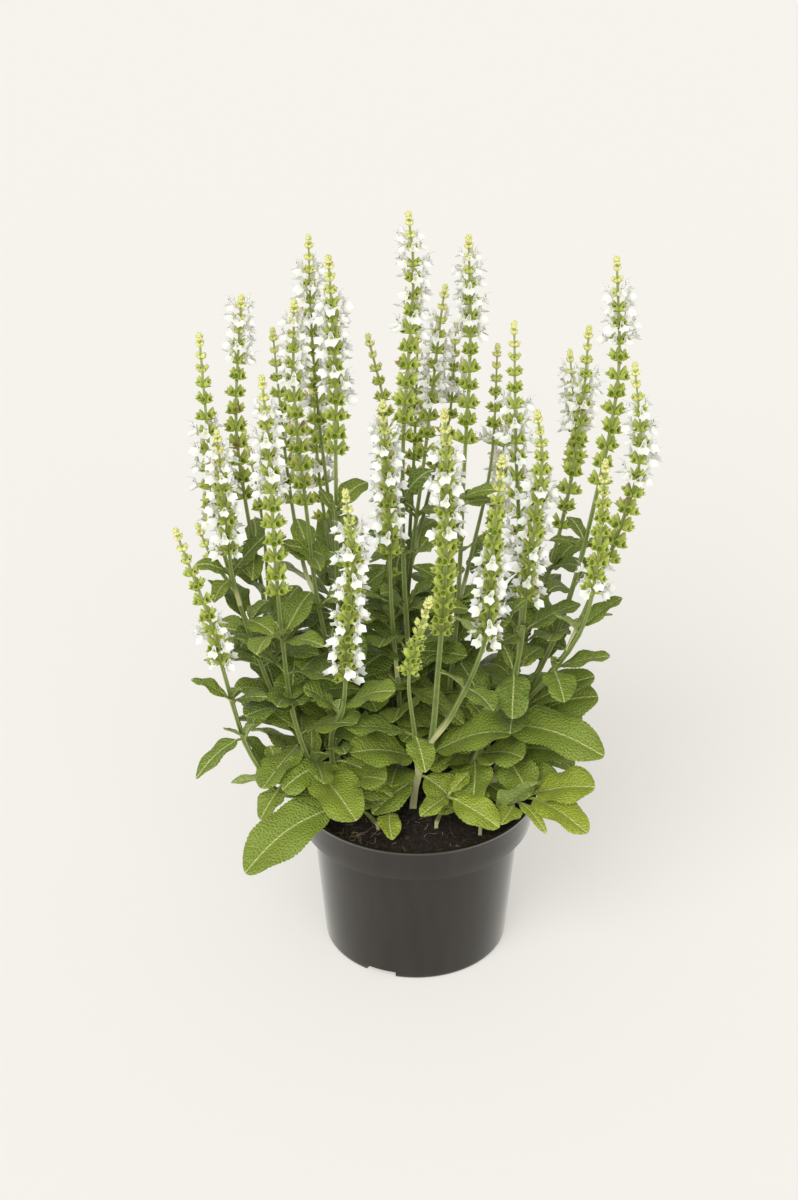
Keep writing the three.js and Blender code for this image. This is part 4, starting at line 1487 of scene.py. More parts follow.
class Spike:
    """A flower spike: its whorls of calyces, their bracts and the flowers of the bloom.

    Each whorl holds six calyces in two groups of three on opposite sides, and turns a quarter
    from the last. Angles are in degrees, sizes in millimetres.
    """

    MEMBERS = np.array([-1.0, 0.0, 1.0])
    CALYX_SPREAD = 46.0
    CALYX_SIZE = 6.9
    BRACT_SIZE = 4.4
    FLOWER_SPREAD = 50.0
    FLOWER_SIZE = 11.6
    FLOWER_SHARE = 0.86
    TIP_BUDS = ((0.2, 1.6, 3.4), (0.0, 45.0, 90.0))

    def __init__(self, line: MiddleLine, foot: float, bloom: Pair, seed: float) -> None:
        """Places the whorls by the plant's rule, from the tip down.

        Args:
            line: the middle line of its stem.
            foot: the stem's radius at its foot.
            bloom: the stretch in flower, from the tip.
            seed: the series of its draws.
        """
        self.line, self.foot, self.bloom, self.seed = line, foot, bloom, seed
        places = []
        from_tip = RULES.whorl_first
        while from_tip <= line.spike - RULES.spike_neck:
            places.append(from_tip)
            growth = 1.0 - np.exp(-from_tip / RULES.whorl_gap_reach)
            from_tip += RULES.whorl_gap + RULES.whorl_gap_growth * growth
        self.from_tip = np.array(places[::-1])
        self.quarter = 90.0 * (np.arange(len(places)) % 2)

    @staticmethod
    def size(from_tip: Array) -> Array:
        """A whorl's share of full size at a distance from the tip."""
        least = RULES.whorl_size_least
        return least + (1.0 - least) * np.minimum(1.0, from_tip / RULES.whorl_size_reach)

    @staticmethod
    def calyx_size(from_tip: Array) -> Array:
        """A calyx's share of full size at a distance from the tip."""
        young = 0.2 * np.minimum(1.0, from_tip / 6.0) + 0.46 * np.minimum(1.0, from_tip / 40.0)
        return 0.34 + young + 0.2 * np.clip((from_tip - 50.0) / 60.0, 0.0, 1.0)

    def _varied(self, least: float, spread: float, series: float, count: int) -> Array:
        """A value in a range for each of a count, by one of the spike's series of draws."""
        return draw_from(least, spread, self.seed + series, np.arange(count, dtype=float))

    def _crowded(self) -> tuple[Array, Array]:
        """The whorls, with three more of young buds at the very tip, and their quarter turns."""
        places, turns = self.TIP_BUDS
        return np.concatenate([self.from_tip, places]), np.concatenate([self.quarter, turns])

    def _six(self, from_tip: Array, quarter: Array, spread: float) -> tuple[Array, Array]:
        """The six members of each whorl.

        Args:
            from_tip: the whorls' places.
            quarter: their turns.
            spread: the angle between neighbours of a group.

        Returns:
            The members' places from the tip, and their angles round the stem.
        """
        groups = np.array([0.0, 180.0])[None, :, None]
        angle = quarter[:, None, None] + groups + spread * self.MEMBERS
        return np.repeat(from_tip, 6), angle.ravel()

    def _seats(
        self, distance: Array, angle: Array, rise: Array, out: Pair, up: Array | float
    ) -> tuple[Array, Array, Array]:
        """Seats that lean out from the stem.

        Args:
            distance: where on the middle line.
            angle: round the stem.
            rise: above square to the stem.
            out: how far out they sit, in stem radii and in millimetres.
            up: how far up along the stem they sit.

        Returns:
            The points they grow from, the ways they point and the ways over them.
        """
        along, across, beside = self.line.frame(distance)
        turn, lean = np.radians(angle)[:, None], np.radians(rise)[:, None]
        outward = across * np.cos(turn) + beside * np.sin(turn)
        axis = outward * np.cos(lean) + along * np.sin(lean)
        over = along * np.cos(lean) - outward * np.sin(lean)
        radius = self.line.radius(distance, self.foot)[:, None]
        base = self.line.at(distance) + outward * (out[0] * radius + out[1]) + along * up
        return base, axis, over

    def calyx_seats(self) -> Seats:
        """Six calyces for each whorl; those at the tip are shut and stand up.

        Returns:
            Their seats.
        """
        place, angle = self._six(*self._crowded(), self.CALYX_SPREAD)
        count = len(place)
        age = np.clip((place - 8.0) / 50.0, 0.0, 1.0)
        shut = np.clip(1.0 - place / 5.0, 0.0, 1.0)
        angle = angle + self._varied(-9.0, 18.0, 0, count)
        rise = 46.0 - 11.0 * age + 34.0 * shut + self._varied(-9.0, 18.0, 1, count)
        seats = self._seats(self.line.length - place, angle, rise, (0.8, 0.0), 0.6)
        size = self.CALYX_SIZE * self.calyx_size(place) * self._varied(0.88, 0.24, 2, count)
        return Seats(*seats, size, age, self._varied(0.0, 1.0, 3, count))

    def bract_seats(self) -> Seats:
        """Two bracts for each whorl, one under each group.

        Returns:
            Their seats.
        """
        from_tip, quarter = self._crowded()
        place = np.repeat(from_tip, 2)
        count = len(place)
        age = np.clip((place - 5.0) / 45.0, 0.0, 1.0)
        angle = np.repeat(quarter, 2) + np.tile([0.0, 180.0], len(from_tip))
        angle = angle + self._varied(-12.0, 24.0, 4, count)
        rise = 54.0 - 38.0 * age + self._varied(-14.0, 28.0, 5, count)
        seats = self._seats(self.line.length - place - 0.8, angle, rise, (0.7, 0.0), 0.0)
        size = self.BRACT_SIZE * np.sqrt(self.size(place)) * self._varied(0.8, 0.35, 6, count)
        return Seats(*seats, size, age, self._varied(0.0, 1.0, 7, count))

    def flower_seats(self) -> Seats:
        """The flowers of the whorls in bloom: most of the six calyces of each hold one.

        Returns:
            Their seats.
        """
        bloom = (self.from_tip > self.bloom[0]) & (self.from_tip < self.bloom[1])
        place, angle = self._six(self.from_tip[bloom], self.quarter[bloom], self.FLOWER_SPREAD)
        count = len(place)
        angle = angle + self._varied(-14.0, 28.0, 8, count)
        rise = self._varied(4.0, 30.0, 9, count)
        up = 2.2 * self.size(place)[:, None]
        base, axis, over = self._seats(self.line.length - place, angle, rise, (1.0, 1.4), up)
        over = turned(over, axis, np.radians(self._varied(-24.0, 48.0, 12, count)))
        size = self.FLOWER_SIZE * np.sqrt(self.size(place)) * self._varied(0.84, 0.3, 10, count)
        luck = self._varied(0.0, 1.0, 11, count)
        seats = Seats(base, axis, over, size, np.ones_like(size), luck)
        return seats.chosen(luck < self.FLOWER_SHARE)


def by_ring(*values: float) -> Array:
    """One number for each ring, ready to meet numbers [seat, ring, column]."""
    return np.array(values)[None, :, None]


@dataclass(frozen=True)
class CalyxForm:
    """A calyx: a cup that opens in a broad upper lip and two lower teeth, shares of its length.

    Each ring is a circle whose radius and place along the axis come from the profile. At the
    rim each column reaches on by its tooth and turns out by its flare. Buds are drawn shut.
    """

    along: Row = (0.0, 0.24, 0.54, 0.74, 0.55)
    radius: Row = (0.08, 0.23, 0.27, 0.25, 0.15)
    teeth: Row = (0.26, 0.16, 0.02, 0.02, 0.25, 0.03, 0.25, 0.02, 0.02, 0.16)
    flares: Row = (0.09, 0.04, 0.0, 0.0, 0.08, 0.02, 0.08, 0.0, 0.0, 0.04)
    bottom: float = 0.28

    def surface(self, seats: Seats) -> Surface:
        """All the calyces of the seats.

        Args:
            seats: where they sit.

        Returns:
            One surface.
        """
        count, columns = len(seats.size), len(self.teeth)
        teeth = np.array(self.teeth)
        angle = TAU * np.arange(columns) / columns + 0.5 * np.pi
        rim = by_ring(0.0, 0.0, 0.0, 1.0, 0.0)
        mouth = by_ring(0.0, 0.0, 0.35, 1.0, 1.0)
        grown = np.clip(seats.age * 1.3 - 0.1, 0.0, 1.0)[:, None, None]
        spread = 1.0 - mouth * 0.75 * (1.0 - grown)
        belly = 1.0 + 0.3 * (1.0 - grown) * (1.0 - mouth)
        wild = (0.6 + 0.8 * seats.luck)[:, None, None]
        flare = rim * np.array(self.flares) * wild * grown
        radius = by_ring(*self.radius) * spread * belly + flare
        along = by_ring(*self.along) + rim * teeth * (0.5 + 0.5 * grown)
        shape = stacked(along, radius * np.cos(angle), radius * np.sin(angle))
        rings = seats.placed(np.broadcast_to(shape, (count, len(self.along), columns, 3)))
        ends = seats.ends((-0.04, 0.0, 0.0), (self.bottom, 0.0, 0.0))
        flat = np.ones((count, len(self.along), columns))
        dry = np.clip((seats.luck - 0.975) * 40.0, 0.0, 0.9) * (seats.age > 0.9)
        edge = by_ring(0.0, 0.1, 0.6, 1.0, 0.4)
        ribbed = 0.3 + 0.7 * (teeth > 0.1)
        layers = {
            "age": flat * seats.age[:, None, None],
            "rib": flat * ribbed * by_ring(1.0, 0.4, 0.2, 1.0, 0.0),
            # inside: where the throat's painted shade lies, the inner ring down in the mouth.
            "inside": flat * by_ring(0.0, 0.0, 0.0, 0.0, 0.8),
            "withered": flat * edge * dry[:, None, None],
        }
        return closed_tubes(rings, *ends, layers)


@dataclass(frozen=True)
class BractForm:
    """A bract: a small pointed blade, cupped across, that bends down towards its tip."""

    stations: Row = (0.06, 0.3, 0.6, 0.86)
    width: Row = (0.12, 0.34, 0.27, 0.1)
    thickness: float = 0.05
    bend: float = 0.25
    cup: float = 0.28

    def surface(self, seats: Seats) -> Surface:
        """All the bracts of the seats.

        Args:
            seats: where they sit.

        Returns:
            One surface.
        """
        count = len(seats.size)
        v = np.array([-1.0, 0.0, 1.0, 1.0, 0.0, -1.0])
        below = np.array([0.0, 0.0, 0.0, 1.0, 1.0, 1.0])
        s = np.array(self.stations)[:, None]
        half = np.array(self.width)[:, None]
        over = self.cup * half * np.abs(v) - self.bend * s**2 - self.thickness * below
        shape = stacked(s, -half * v, over)
        grown = np.broadcast_to(shape, (count, *shape.shape))
        ends = seats.ends((-0.04, 0.0, -0.02), (1.0, 0.0, -self.bend - 0.02))
        flat = np.ones((count, len(self.stations), len(v)))
        dry = np.clip((seats.luck - 0.86) * 6.0, 0.0, 0.8) * (seats.age > 0.95)
        layers = {
            "age": flat * seats.age[:, None, None],
            "rib": flat * (1.0 - np.abs(v)),
            # inside: the bracts take a little of the throat's painted shade all over.
            "inside": flat * 0.15,
            "withered": flat * (s * dry[:, None, None]),
        }
        return closed_tubes(seats.placed(grown), *ends, layers)


@dataclass(frozen=True)
class FlowerForm:
    """A two-lipped flower: a tube, a narrow hood and a broad lip, in shares of its length.

    The first rings are circles round the axis. The last ring is the outline of hood and lip,
    given for each column as places along, beside and over the axis, and the ring before it is
    halfway there, bulged out, so that the hood is arched and the lip is cupped. The wall then
    turns back inside.
    """

    foot: float = 0.05
    tube: float = 0.085
    throat: float = 0.14
    wall: float = 0.02
    brim_along: Row = (0.76, 0.68, 0.54, 0.68, 0.88, 0.76, 0.88, 0.68, 0.54, 0.68)
    brim_beside: Row = (0.0, -0.1, -0.15, -0.33, -0.2, 0.0, 0.2, 0.33, 0.15, 0.1)
    brim_over: Row = (0.5, 0.38, 0.04, -0.1, -0.34, -0.3, -0.34, -0.1, 0.04, 0.38)

    def surface(self, seats: Seats) -> Surface:
        """The petals of all the seats, with the inside walls and the bottom of their tubes.

        Args:
            seats: where they sit.

        Returns:
            One surface.
        """
        count, columns = len(seats.size), len(self.brim_along)
        angle = TAU * np.arange(columns) / columns + 0.5 * np.pi
        up = np.sin(angle)
        reach = np.array([0.0, 0.3, 0.52])[:, None]
        radius = np.array([self.foot, self.tube, self.throat])[:, None]
        tube = stacked(reach, radius * np.cos(angle), radius * up)
        brim = stacked(self.brim_along, self.brim_beside, self.brim_over)
        open_up = (0.72 + 0.5 * seats.luck)[:, None, None]
        brim = tube[2] + (brim - tube[2]) * (1.0 + (open_up - 1.0) * UP)
        hood, lip = np.maximum(up, 0.0), np.maximum(-up, 0.0)
        bulge = stacked(0.05 * lip - 0.04 * hood, 0.0, 0.06 * hood - 0.07 * lip)
        middle = 0.5 * (tube[2] + brim) + bulge
        tube = np.broadcast_to(tube, (count, *tube.shape))
        outer = np.concatenate([tube, middle[:, None], brim[:, None]], axis=1)
        centre = outer.mean(axis=2, keepdims=True)
        inner = (outer + unit(centre - outer) * self.wall)[:, [3, 2, 1]]
        shape = np.concatenate([outer, inner], axis=1)
        ends = seats.ends((-0.03, 0.0, 0.0), (0.24, 0.0, 0.0))
        flat = np.ones(shape.shape[:3])
        inside = by_ring(0.5, 0.25, 0.1, 0.0, 0.0, 0.05, 0.5, 1.0)
        layers = {"inside": flat * inside, "dark": flat * 0.0}
        return closed_tubes(seats.placed(shape), *ends, layers)

    def threads(self, seats: Seats) -> Surface:
        """The style of each flower, curved up under the hood and out past it, and two anthers.

        Args:
            seats: where they sit.

        Returns:
            One surface.
        """
        angle = TAU * np.arange(3) / 3.0
        curve = np.array([[0.45, 0.0, 0.06], [0.72, 0.0, 0.3], [0.9, 0.0, 0.42], [1.06, 0.0, 0.4]])
        thin = np.array([0.012, 0.012, 0.011, 0.009])[:, None]
        ring = stacked(0.0, np.cos(angle), np.sin(angle))
        style = curve[:, None, :] + ring[None] * thin[..., None]
        parts = [self._tubes(seats, style, curve[0], curve[-1] + [0.03, 0.0, 0.0], 0.35)]
        for beside in (-0.05, 0.06):
            middle = np.array([0.68, beside, 0.2])
            bulge = np.array([0.018, 0.034, 0.018])[:, None]
            steps = np.array([[-0.03, 0.0, -0.02], [0.0, 0.0, 0.0], [0.03, 0.0, 0.02]])
            anther = middle + steps[:, None, :] + ring[None] * bulge[..., None]
            ends = middle - [0.05, 0.0, 0.03], middle + [0.05, 0.0, 0.03]
            parts.append(self._tubes(seats, anther, *ends, 1.0))
        return gathered(parts)

    @staticmethod
    def _tubes(seats: Seats, rings: Array, foot: Array, tip: Array, dark: float) -> Surface:
        """The same small tube in every seat.

        Args:
            seats: where they sit.
            rings: the points of one, [ring, column, 3].
            foot: its first point.
            tip: its last point.
            dark: how dark it is.

        Returns:
            One surface.
        """
        shape = np.broadcast_to(rings, (len(seats.size), *rings.shape))
        flat = np.ones(shape.shape[:3])
        layers = {"inside": flat * 0.6, "dark": flat * dark}
        return closed_tubes(seats.placed(shape), *seats.ends(foot, tip), layers)


CALYX, BRACT, FLOWER = CalyxForm(), BractForm(), FlowerForm()


# ---- Stems ----


@dataclass(frozen=True)
class StalkForm:
    """A square stem: its radius is r (0.86 - 0.14 cos 4a), with swollen joints at its leaves."""

    columns: int = 12
    spacing: float = 5.0
    flat: float = 0.86
    corner: float = 0.14
    swelling: float = 0.22
    joint: float = 3.5

    def surface(self, line: MiddleLine, foot: float, joints: list[float], lead: bool) -> Surface:
        """One stalk from its foot to the tip of its spike.

        Args:
            line: its middle line.
            foot: its radius at the foot.
            joints: distances from the foot at which leaves grow.
            lead: whether it goes on straight down into the peat.

        Returns:
            Its surface, closed at both ends.
        """
        count = max(6, int(line.length / self.spacing))
        distance = np.linspace(0.0, line.length, count)
        middle = line.at(distance)
        along, across, beside = line.frame(distance)
        radius = line.radius(distance, foot)
        swell = sum((bell(distance - joint, self.joint) for joint in joints), np.zeros(count))
        radius = radius * (1.0 + self.swelling * np.minimum(swell, 1.0))
        if lead:
            below = middle[:1] - UP * (RULES.free_z - RULES.foot_z)
            middle = np.concatenate([below, middle])
            across = np.concatenate([[[1.0, 0.0, 0.0]], across])
            beside = np.concatenate([[[0.0, 1.0, 0.0]], beside])
            along = np.concatenate([[UP], along])
            radius = np.concatenate([radius[:1], radius])
            distance = np.concatenate([[0.0], distance])
        angle = TAU * np.arange(self.columns) / self.columns + 0.25 * np.pi
        square = self.flat - self.corner * np.cos(4.0 * angle)
        cos, sin = np.cos(angle)[:, None], np.sin(angle)[:, None]
        around = across[:, None, :] * cos + beside[:, None, :] * sin
        rings = middle[:, None, :] + around * (radius[:, None] * square)[..., None]
        flat = np.ones(rings.shape[:2])
        layers = {
            "ridge": (flat * (square - self.flat + self.corner) / (2.0 * self.corner))[None],
            "rise": (flat * (distance / line.length)[:, None])[None],
        }
        tip = middle[-1] + along[-1] * 0.8
        return closed_tubes(rings[None], middle[0] - along[0] * 0.5, tip, layers)


STALK = StalkForm()


class PlantStem:
    """One stem out of the peat, with its side stems, leaves, spikes and flowers."""

    def __init__(self, plan: StemPlan) -> None:
        """Works out the stem's lines, leaves and spikes from its plan.

        Args:
            plan: the stem.
        """
        self.plan = plan
        points = np.array([(*plan.foot, RULES.free_z), *plan.path], float)
        self.line = MiddleLine(points, plan.spike)
        self.leaves = paired_leaves(plan, self.line)
        self.leaves += placed_leaves(plan, plan.leaves, self.line)
        self.leaves += placed_leaves(plan, LOW_LEAVES.get(plan.node, ()), self.line)
        self.leaves += inner_leaves(plan, self.line)
        joints = [self.line.bare * share for share in plan.pair_shares()]
        joints += [leaf.share * self.line.length for leaf in plan.leaves]
        joints += [branch.share * self.line.length for branch in plan.side]
        self.stalks = [STALK.surface(self.line, plan.radius, joints, lead=True)]
        self.spikes: list[Spike] = []
        if plan.spike:
            self.spikes.append(Spike(self.line, plan.radius, plan.bloom, plan.seed + 0.5))
        for number, branch in enumerate(plan.side):
            self._add_branch(branch, plan.seed + 20.5 + 20.0 * number)

    def _add_branch(self, branch: Branch, seed: float) -> None:
        """Adds a side stem with its leaves and spike.

        Args:
            branch: the side stem.
            seed: the series of its spike's draws.
        """
        root = self.line.on_step(branch.share * self.line.length)
        line = MiddleLine(np.array([root, *branch.path], float), branch.spike)
        foot = RULES.branch_share * self.plan.radius
        joints = [leaf.share * line.length for leaf in branch.leaves]
        self.stalks.append(STALK.surface(line, foot, joints, lead=False))
        self.leaves += placed_leaves(self.plan, branch.leaves, line)
        if branch.spike:
            self.spikes.append(Spike(line, foot, branch.bloom, seed))

    def build(self, finishes: dict[str, Material]) -> None:
        """Makes the stem's pieces and dresses them.

        Args:
            finishes: the materials, by the names of what wears them.
        """
        node = self.plan.node
        Piece(f"{node}_stalk", gathered(self.stalks), finishes["stem"], (node,), "stem_green")
        if self.leaves:
            blades = gathered([LEAF.surface(place) for place in self.leaves])
            Piece(f"{node}_leaves", blades, finishes["leaf"], (node,), "leaf_green")
        if self.spikes:
            cups = [CALYX.surface(spike.calyx_seats()) for spike in self.spikes]
            cups += [BRACT.surface(spike.bract_seats()) for spike in self.spikes]
            Piece(f"{node}_calyces", gathered(cups), finishes["calyx"], (node,), "stem_green")
        seats = [spike.flower_seats() for spike in self.spikes]
        seats = [seat for seat in seats if len(seat.size)]
        if seats:
            petals = [form(seat) for seat in seats for form in (FLOWER.surface, FLOWER.threads)]
            Piece(f"{node}_flowers", gathered(petals), finishes["petal"], (node,), None)


# ---- Pot and peat ----


@dataclass(frozen=True)
class PotForm:
    """The pot: a turned wall with a stepped collar and three notches in its bottom edge.

    Its profiles are places (radius, height), from the middle of the floor up to the lip and
    back down. A notch leaves out the rows between its cuts. Turns are in degrees.
    """

    notch_turns: Row = (-112.7, 7.3, 127.3)
    notch_half: float = 10.3
    notch_columns: int = 11
    between_columns: int = 53
    outside: tuple[Pair, ...] = (
        (30.0, 0.0), (55.5, 0.0), (61.5, 0.0), (63.2, 0.45), (64.2, 1.5), (64.5, 3.0), (64.67, 5.0),
        (65.0, 8.0), (67.3, 35.0), (69.6, 62.0), (71.7, 86.0), (72.7, 97.4), (72.95, 98.7),
        (73.5, 99.3), (74.4, 99.5), (79.6, 98.25), (80.5, 98.0), (81.0, 98.2), (81.2, 98.9),
        (82.5, 108.0), (84.0, 120.2), (84.25, 121.7), (84.8, 122.2), (85.0, 122.7), (84.85, 123.2),
        (84.2, 123.5),
    )
    inside: tuple[Pair, ...] = (
        (83.3, 123.5), (82.95, 123.3), (82.8, 122.6), (81.4, 112.0), (80.0, 102.0), (79.7, 101.1),
        (79.2, 100.8), (72.2, 100.8), (71.7, 100.3), (71.3, 95.0), (67.2, 50.0), (63.4, 10.0),
        (62.9, 5.0), (62.6, 4.0), (62.3, 2.9), (61.8, 2.1), (61.0, 1.8), (55.5, 1.8), (30.0, 1.8),
    )
    cut_outside: tuple[int, int] = (1, 6)
    cut_inside: tuple[int, int] = (12, 17)

    def turns(self) -> Array:
        """The angles of the columns, in degrees; the edges of the notches are among them.

        Returns:
            An angle for each column.
        """
        edge, apart = self.notch_half, 360.0 / len(self.notch_turns)
        notch = np.linspace(-edge, edge, self.notch_columns, False)
        plain = np.linspace(edge, apart - edge, self.between_columns, False)
        third = np.concatenate([notch, plain])
        return np.concatenate([turn + third for turn in self.notch_turns])

    def surface(self) -> Surface:
        """The turned wall as one closed shell, its notches cut out and their edges closed.

        Returns:
            The whole pot.
        """
        profile = np.array(self.outside + self.inside)
        turn = np.radians(self.turns())
        columns, rows = len(turn), len(profile)
        rings = circles(profile[:, :1], turn, profile[:, 1:])
        whole = closed_tubes(rings[None], UP * profile[0, 1], UP * profile[-1, 1], {})
        quads = whole.quads.reshape(rows - 1, columns, 4)
        kept = np.ones((rows - 1, columns), bool)
        first_in = len(self.outside)
        low, high = self.cut_outside
        top, bottom = (first_in + row for row in self.cut_inside)
        borders = []
        for number in range(len(self.notch_turns)):
            start = number * (self.notch_columns + self.between_columns)
            cut = slice(start, start + self.notch_columns)
            kept[low:high, cut] = False
            kept[top:bottom, cut] = False
            c = np.arange(start, start + self.notch_columns)
            n = (c + 1) % columns
            borders.append(self._band(low, bottom, c, n, columns))
            borders.append(self._band(top, high, c, n, columns))
            k = np.arange(high - low)
            outer, inner = (low + k) * columns, (bottom - k) * columns
            ends = [outer, inner, inner - columns, outer + columns]
            borders.append(stacked(*ends) + start)
            borders.append(stacked(*ends[::-1]) + start + self.notch_columns)
        quads = np.concatenate([quads[kept], *borders])
        return self._without_loose(Surface(whole.corners, quads, whole.tris, {}))

    @staticmethod
    def _band(first: int, second: int, c: Array, n: Array, columns: int) -> Array:
        """Quads that join two rows of the wall along a notch."""
        one, other = first * columns, second * columns
        return stacked(one + c, one + n, other + n, other + c)

    @staticmethod
    def _without_loose(surface: Surface) -> Surface:
        """The surface without the corners that no face uses.

        Args:
            surface: any surface.

        Returns:
            The same faces on fewer corners.
        """
        used = np.zeros(len(surface.corners), bool)
        used[surface.quads] = True
        used[surface.tris] = True
        place = np.cumsum(used) - 1
        return Surface(surface.corners[used], place[surface.quads], place[surface.tris], {})


@dataclass(frozen=True)
class PeatForm:
    """The peat: it fills the pot, is heaped in its middle, and is lumpy on top.

    Its top is z = 111 + 4 (1 - (r / 80) squared) plus three sizes of smooth noise. Crumbs and
    fibres lie on it; a size or a length is given as its least value and its spread.
    """

    columns: int = 150
    rings: int = 68
    edge_radius: float = 80.0
    least_radius: float = 1.2
    edge_z: float = 111.0
    heap: float = 4.0
    series: float = 77.0
    lumps: tuple[Pair, ...] = ((15.0, 1.0), (5.5, 0.8), (2.1, 0.55))
    below: tuple[Pair, ...] = (
        (52.9, 2.1), (52.9, 7.0), (61.9, 7.5), (70.2, 95.0), (70.8, 101.1), (79.0, 101.1),
        (79.75, 109.2),
    )
    crumbs: int = 700
    crumb_size: Pair = (0.5, 1.9)
    crumb_reach: float = 77.5
    fibres: int = 190
    fibre_length: Pair = (2.5, 11.0)
    fibre_reach: float = 78.5
    tuft: Pair = (-37.0, -46.0)
    tuft_fibres: int = 48
    tuft_share: float = 0.2

    def height(self, x: Array, y: Array) -> Array:
        """The height of the peat's top at places on it.

        Args:
            x: places along X.
            y: places along Y.

        Returns:
            A height for each place.
        """
        z = self.edge_z + self.heap * (1.0 - (x**2 + y**2) / self.edge_radius**2)
        for number, (size, height) in enumerate(self.lumps):
            z = z + height * soil_noise(x, y, size, self.series + number)
        return z

    def bed(self) -> Surface:
        """The peat's body.

        Returns:
            One closed surface.
        """
        turn = TAU * np.arange(self.columns) / self.columns
        wall = np.array(self.below)
        radius = np.linspace(self.edge_radius, self.least_radius, self.rings)[:, None]
        x, y = radius * np.cos(turn), radius * np.sin(turn)
        top = stacked(x, y, self.height(x, y))
        rings = np.concatenate([circles(wall[:, :1], turn, wall[:, 1:]), top])
        middle = UP * float(self.height(np.array(0.0), np.array(0.0)))
        return closed_tubes(rings[None], UP * self.below[0][1], middle, {})

    def bits(self) -> Surface:
        """Crumbs and fibres that lie on the peat."""
        return gathered([self._crumbs(), self._fibres()])

    def _spots(self, count: int, seed: float) -> tuple[Array, Array, Array]:
        """Places on the top: each is drawn evenly over the disc.

        Args:
            count: how many.
            seed: the first of two series of draws.

        Returns:
            Their x, y and z.
        """
        number = np.arange(count, dtype=float)
        radius = self.crumb_reach * np.sqrt(draw(seed, number))
        turn = TAU * draw(seed + 1, number)
        x, y = radius * np.cos(turn), radius * np.sin(turn)
        return x, y, self.height(x, y)

    def _crumbs(self) -> Surface:
        """Small lumps: three rings of five points, each point drawn in or out.

        Returns:
            All of them as one surface.
        """
        x, y, z = self._spots(self.crumbs, 301.5)
        number = np.arange(self.crumbs, dtype=float)
        size = self.crumb_size[0] + self.crumb_size[1] * draw(303.5, number) ** 3
        turn = TAU * (np.arange(5) / 5.0)
        ring_radius = np.array([0.75, 1.0, 0.7])[:, None]
        ring_z = np.array([-0.45, 0.05, 0.55])[:, None]
        k = number[:, None, None] * 15.0 + np.arange(15).reshape(1, 3, 5)
        rough = draw_from(0.72, 0.5, 305.5, k)
        spin = (TAU * draw(304.5, number))[:, None, None]
        long = 1.0 + 0.9 * draw(306.5, number)[:, None, None]
        px = ring_radius * np.cos(turn) * rough * long
        py = ring_radius * np.sin(turn) * rough
        cos, sin = np.cos(spin), np.sin(spin)
        local = stacked(px * cos - py * sin, px * sin + py * cos, ring_z * rough)
        place = stacked(x, y, z + 0.15 * size)
        rings = place[:, None, None] + local * size[:, None, None, None]
        foot, tip = place - UP * 0.7 * size[:, None], place + UP * 0.75 * size[:, None]
        tone = np.broadcast_to((0.35 * draw(307.5, number) ** 2)[:, None, None], rings.shape[:3])
        return closed_tubes(rings, foot, tip, {"tone": tone})

    def _fibres(self) -> Surface:
        """Straw and root fibres: thin bent rods that rest on the peat, some in a pale tuft.

        Returns:
            All of them as one surface.
        """
        x, y, _ = self._spots(self.fibres, 311.5)
        number = np.arange(self.fibres, dtype=float)
        tufted = number < self.tuft_fibres
        x = np.where(tufted, self.tuft[0] + self.tuft_share * x, x)
        y = np.where(tufted, self.tuft[1] + self.tuft_share * y, y)
        length = self.fibre_length[0] + self.fibre_length[1] * draw(313.5, number) ** 2.2
        turn = TAU * draw(314.5, number)
        bend = draw_from(-0.5, 1.0, 315.5, number)
        thick = draw_from(0.1, 0.2, 316.5, number)
        s = np.linspace(-0.5, 0.5, 5)
        heading = turn[:, None] + bend[:, None] * s
        px = x[:, None] + length[:, None] * s * np.cos(heading)
        py = y[:, None] + length[:, None] * s * np.sin(heading)
        outside = np.maximum(np.hypot(px, py) / self.fibre_reach, 1.0)
        px, py = px / outside, py / outside
        pz = self.height(px, py) + thick[:, None] * 0.7 + 0.3
        middle = stacked(px, py, pz)
        along = stacked(np.cos(heading), np.sin(heading), 0.0)
        beside = stacked(-np.sin(heading), np.cos(heading), 0.0)
        angle = TAU * np.arange(5) / 5.0
        around = (
            beside[:, :, None] * np.cos(angle)[:, None] + UP * np.sin(angle)[:, None]
        ) * (thick[:, None] * (1.0 - 1.2 * s**2))[..., None, None]
        rings = middle[:, :, None] + around
        tone = np.maximum(draw_from(0.1, 1.0, 317.5, number) ** 1.5, 0.8 * tufted)
        tone = np.broadcast_to(tone[:, None, None], rings.shape[:3])
        foot, tip = middle[:, 0] - 0.4 * along[:, 0], middle[:, -1] + 0.4 * along[:, -1]
        return closed_tubes(rings, foot, tip, {"tone": tone})


# ---- Studio ----


class Softness(Enum):
    """How wide a lamp looks from the plant, in degrees."""

    KEY = 40.0
    FILL = 60.0


@dataclass(frozen=True)
class Lamp:
    """A far, wide lamp.

    Args:
        name: its name.
        azimuth: where it stands round the plant, in degrees from the front towards the right.
        height: how high it stands, in degrees.
        softness: how wide it looks.
        strength: its light, in watts for each square metre.
        distance: where it hangs, in metres.
    """

    name: str
    azimuth: float
    height: float
    softness: Softness
    strength: float
    distance: float = 3.0

    def build(self) -> None:
        """Hangs the lamp and turns it to the plant."""
        light = bpy.data.lights.new(self.name, "SUN")
        light.angle = float(np.radians(self.softness.value))
        light.energy = self.strength
        turn, rise = np.radians(self.azimuth), np.radians(self.height)
        place = Vector((np.sin(turn) * np.cos(rise), -np.cos(turn) * np.cos(rise), np.sin(rise)))
        lamp = shown(self.name, light)
        lamp.location = place * self.distance
        lamp.rotation_euler = place.to_track_quat("Z", "Y").to_euler()


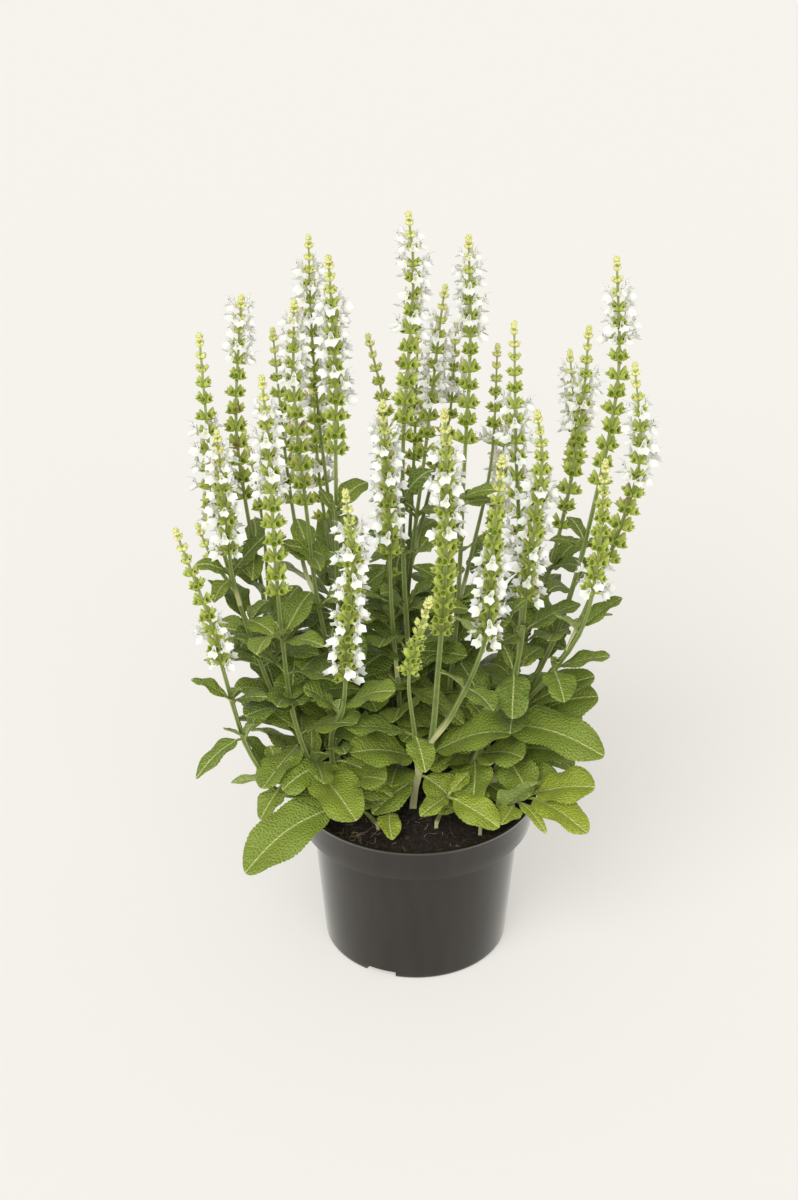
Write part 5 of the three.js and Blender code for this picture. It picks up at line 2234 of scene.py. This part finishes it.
@dataclass(frozen=True)
class Studio:
    """A plain pale floor, two soft lamps, a pale room and the camera, in metres and degrees."""

    floor_half: float = 30.0
    room: Colour = shade(255, 254, 251)
    room_light: float = 0.46
    camera_place: Point = (0.0, -1.505, 1.150)
    camera_turn: Point = (59.7, 0.0, 0.455)
    lens: float = 78.0
    sensor: float = 36.0
    view_end: float = 200.0
    lamps: tuple[Lamp, ...] = (
        Lamp("key_lamp", -26.0, 43.0, Softness.KEY, 1.65),
        Lamp("fill_lamp", 4.0, 31.0, Softness.FILL, 1.1),
    )

    def build(self) -> None:
        """Sets up the floor, the room, the lamps and the camera."""
        self._floor()
        self._room()
        for lamp in self.lamps:
            lamp.build()
        self._camera()

    def _floor(self) -> None:
        """Lays the floor."""
        half = self.floor_half
        corners = [(-half, -half, 0.0), (half, -half, 0.0), (half, half, 0.0), (-half, half, 0.0)]
        mesh = bpy.data.meshes.new("studio_floor")
        mesh.from_pydata(corners, [], [(0, 1, 2, 3)])
        mesh.materials.append(PaperFinish().material())
        shown("studio_floor", mesh)

    def _room(self) -> None:
        """Lights the room evenly from all round."""
        world = bpy.data.worlds.new("studio_world")
        world.use_nodes = True
        sky = world.node_tree.nodes["Background"]
        sky.inputs["Color"].default_value = self.room
        sky.inputs["Strength"].default_value = self.room_light
        bpy.context.scene.world = world
        bpy.context.scene.view_settings.view_transform = "Standard"

    def _camera(self) -> None:
        """Sets up the camera."""
        camera = bpy.data.cameras.new("camera")
        camera.lens = self.lens
        camera.sensor_width = self.sensor
        camera.clip_end = self.view_end
        stand = shown("camera", camera)
        stand.location = self.camera_place
        stand.rotation_euler = tuple(np.radians(self.camera_turn))
        bpy.context.scene.camera = stand


# ---- Assembly ----


def main() -> None:
    """Builds the pot, the peat, every stem and the studio, in that order."""
    logging.basicConfig(level=logging.INFO, format="%(name)s: %(message)s")
    finishes = {
        "stem": StemFinish().material(),
        "leaf": LeafFinish().material(),
        "calyx": CalyxFinish().material(),
        "petal": PetalFinish().material(),
    }
    pot, peat = PotForm(), PeatForm()
    Piece("pot_shell", pot.surface(), PotPlastic().material(), ("pot",), "pot_plastic", 40.0)
    Piece("peat_bed", peat.bed(), PeatFinish().material(), ("peat",), "peat", 75.0)
    Piece("peat_bits", peat.bits(), ChaffFinish().material(), ("peat",), "peat", 30.0)
    for plan in PLANS:
        PlantStem(plan).build(finishes)
    Studio().build()


if __name__ == "__main__":
    main()
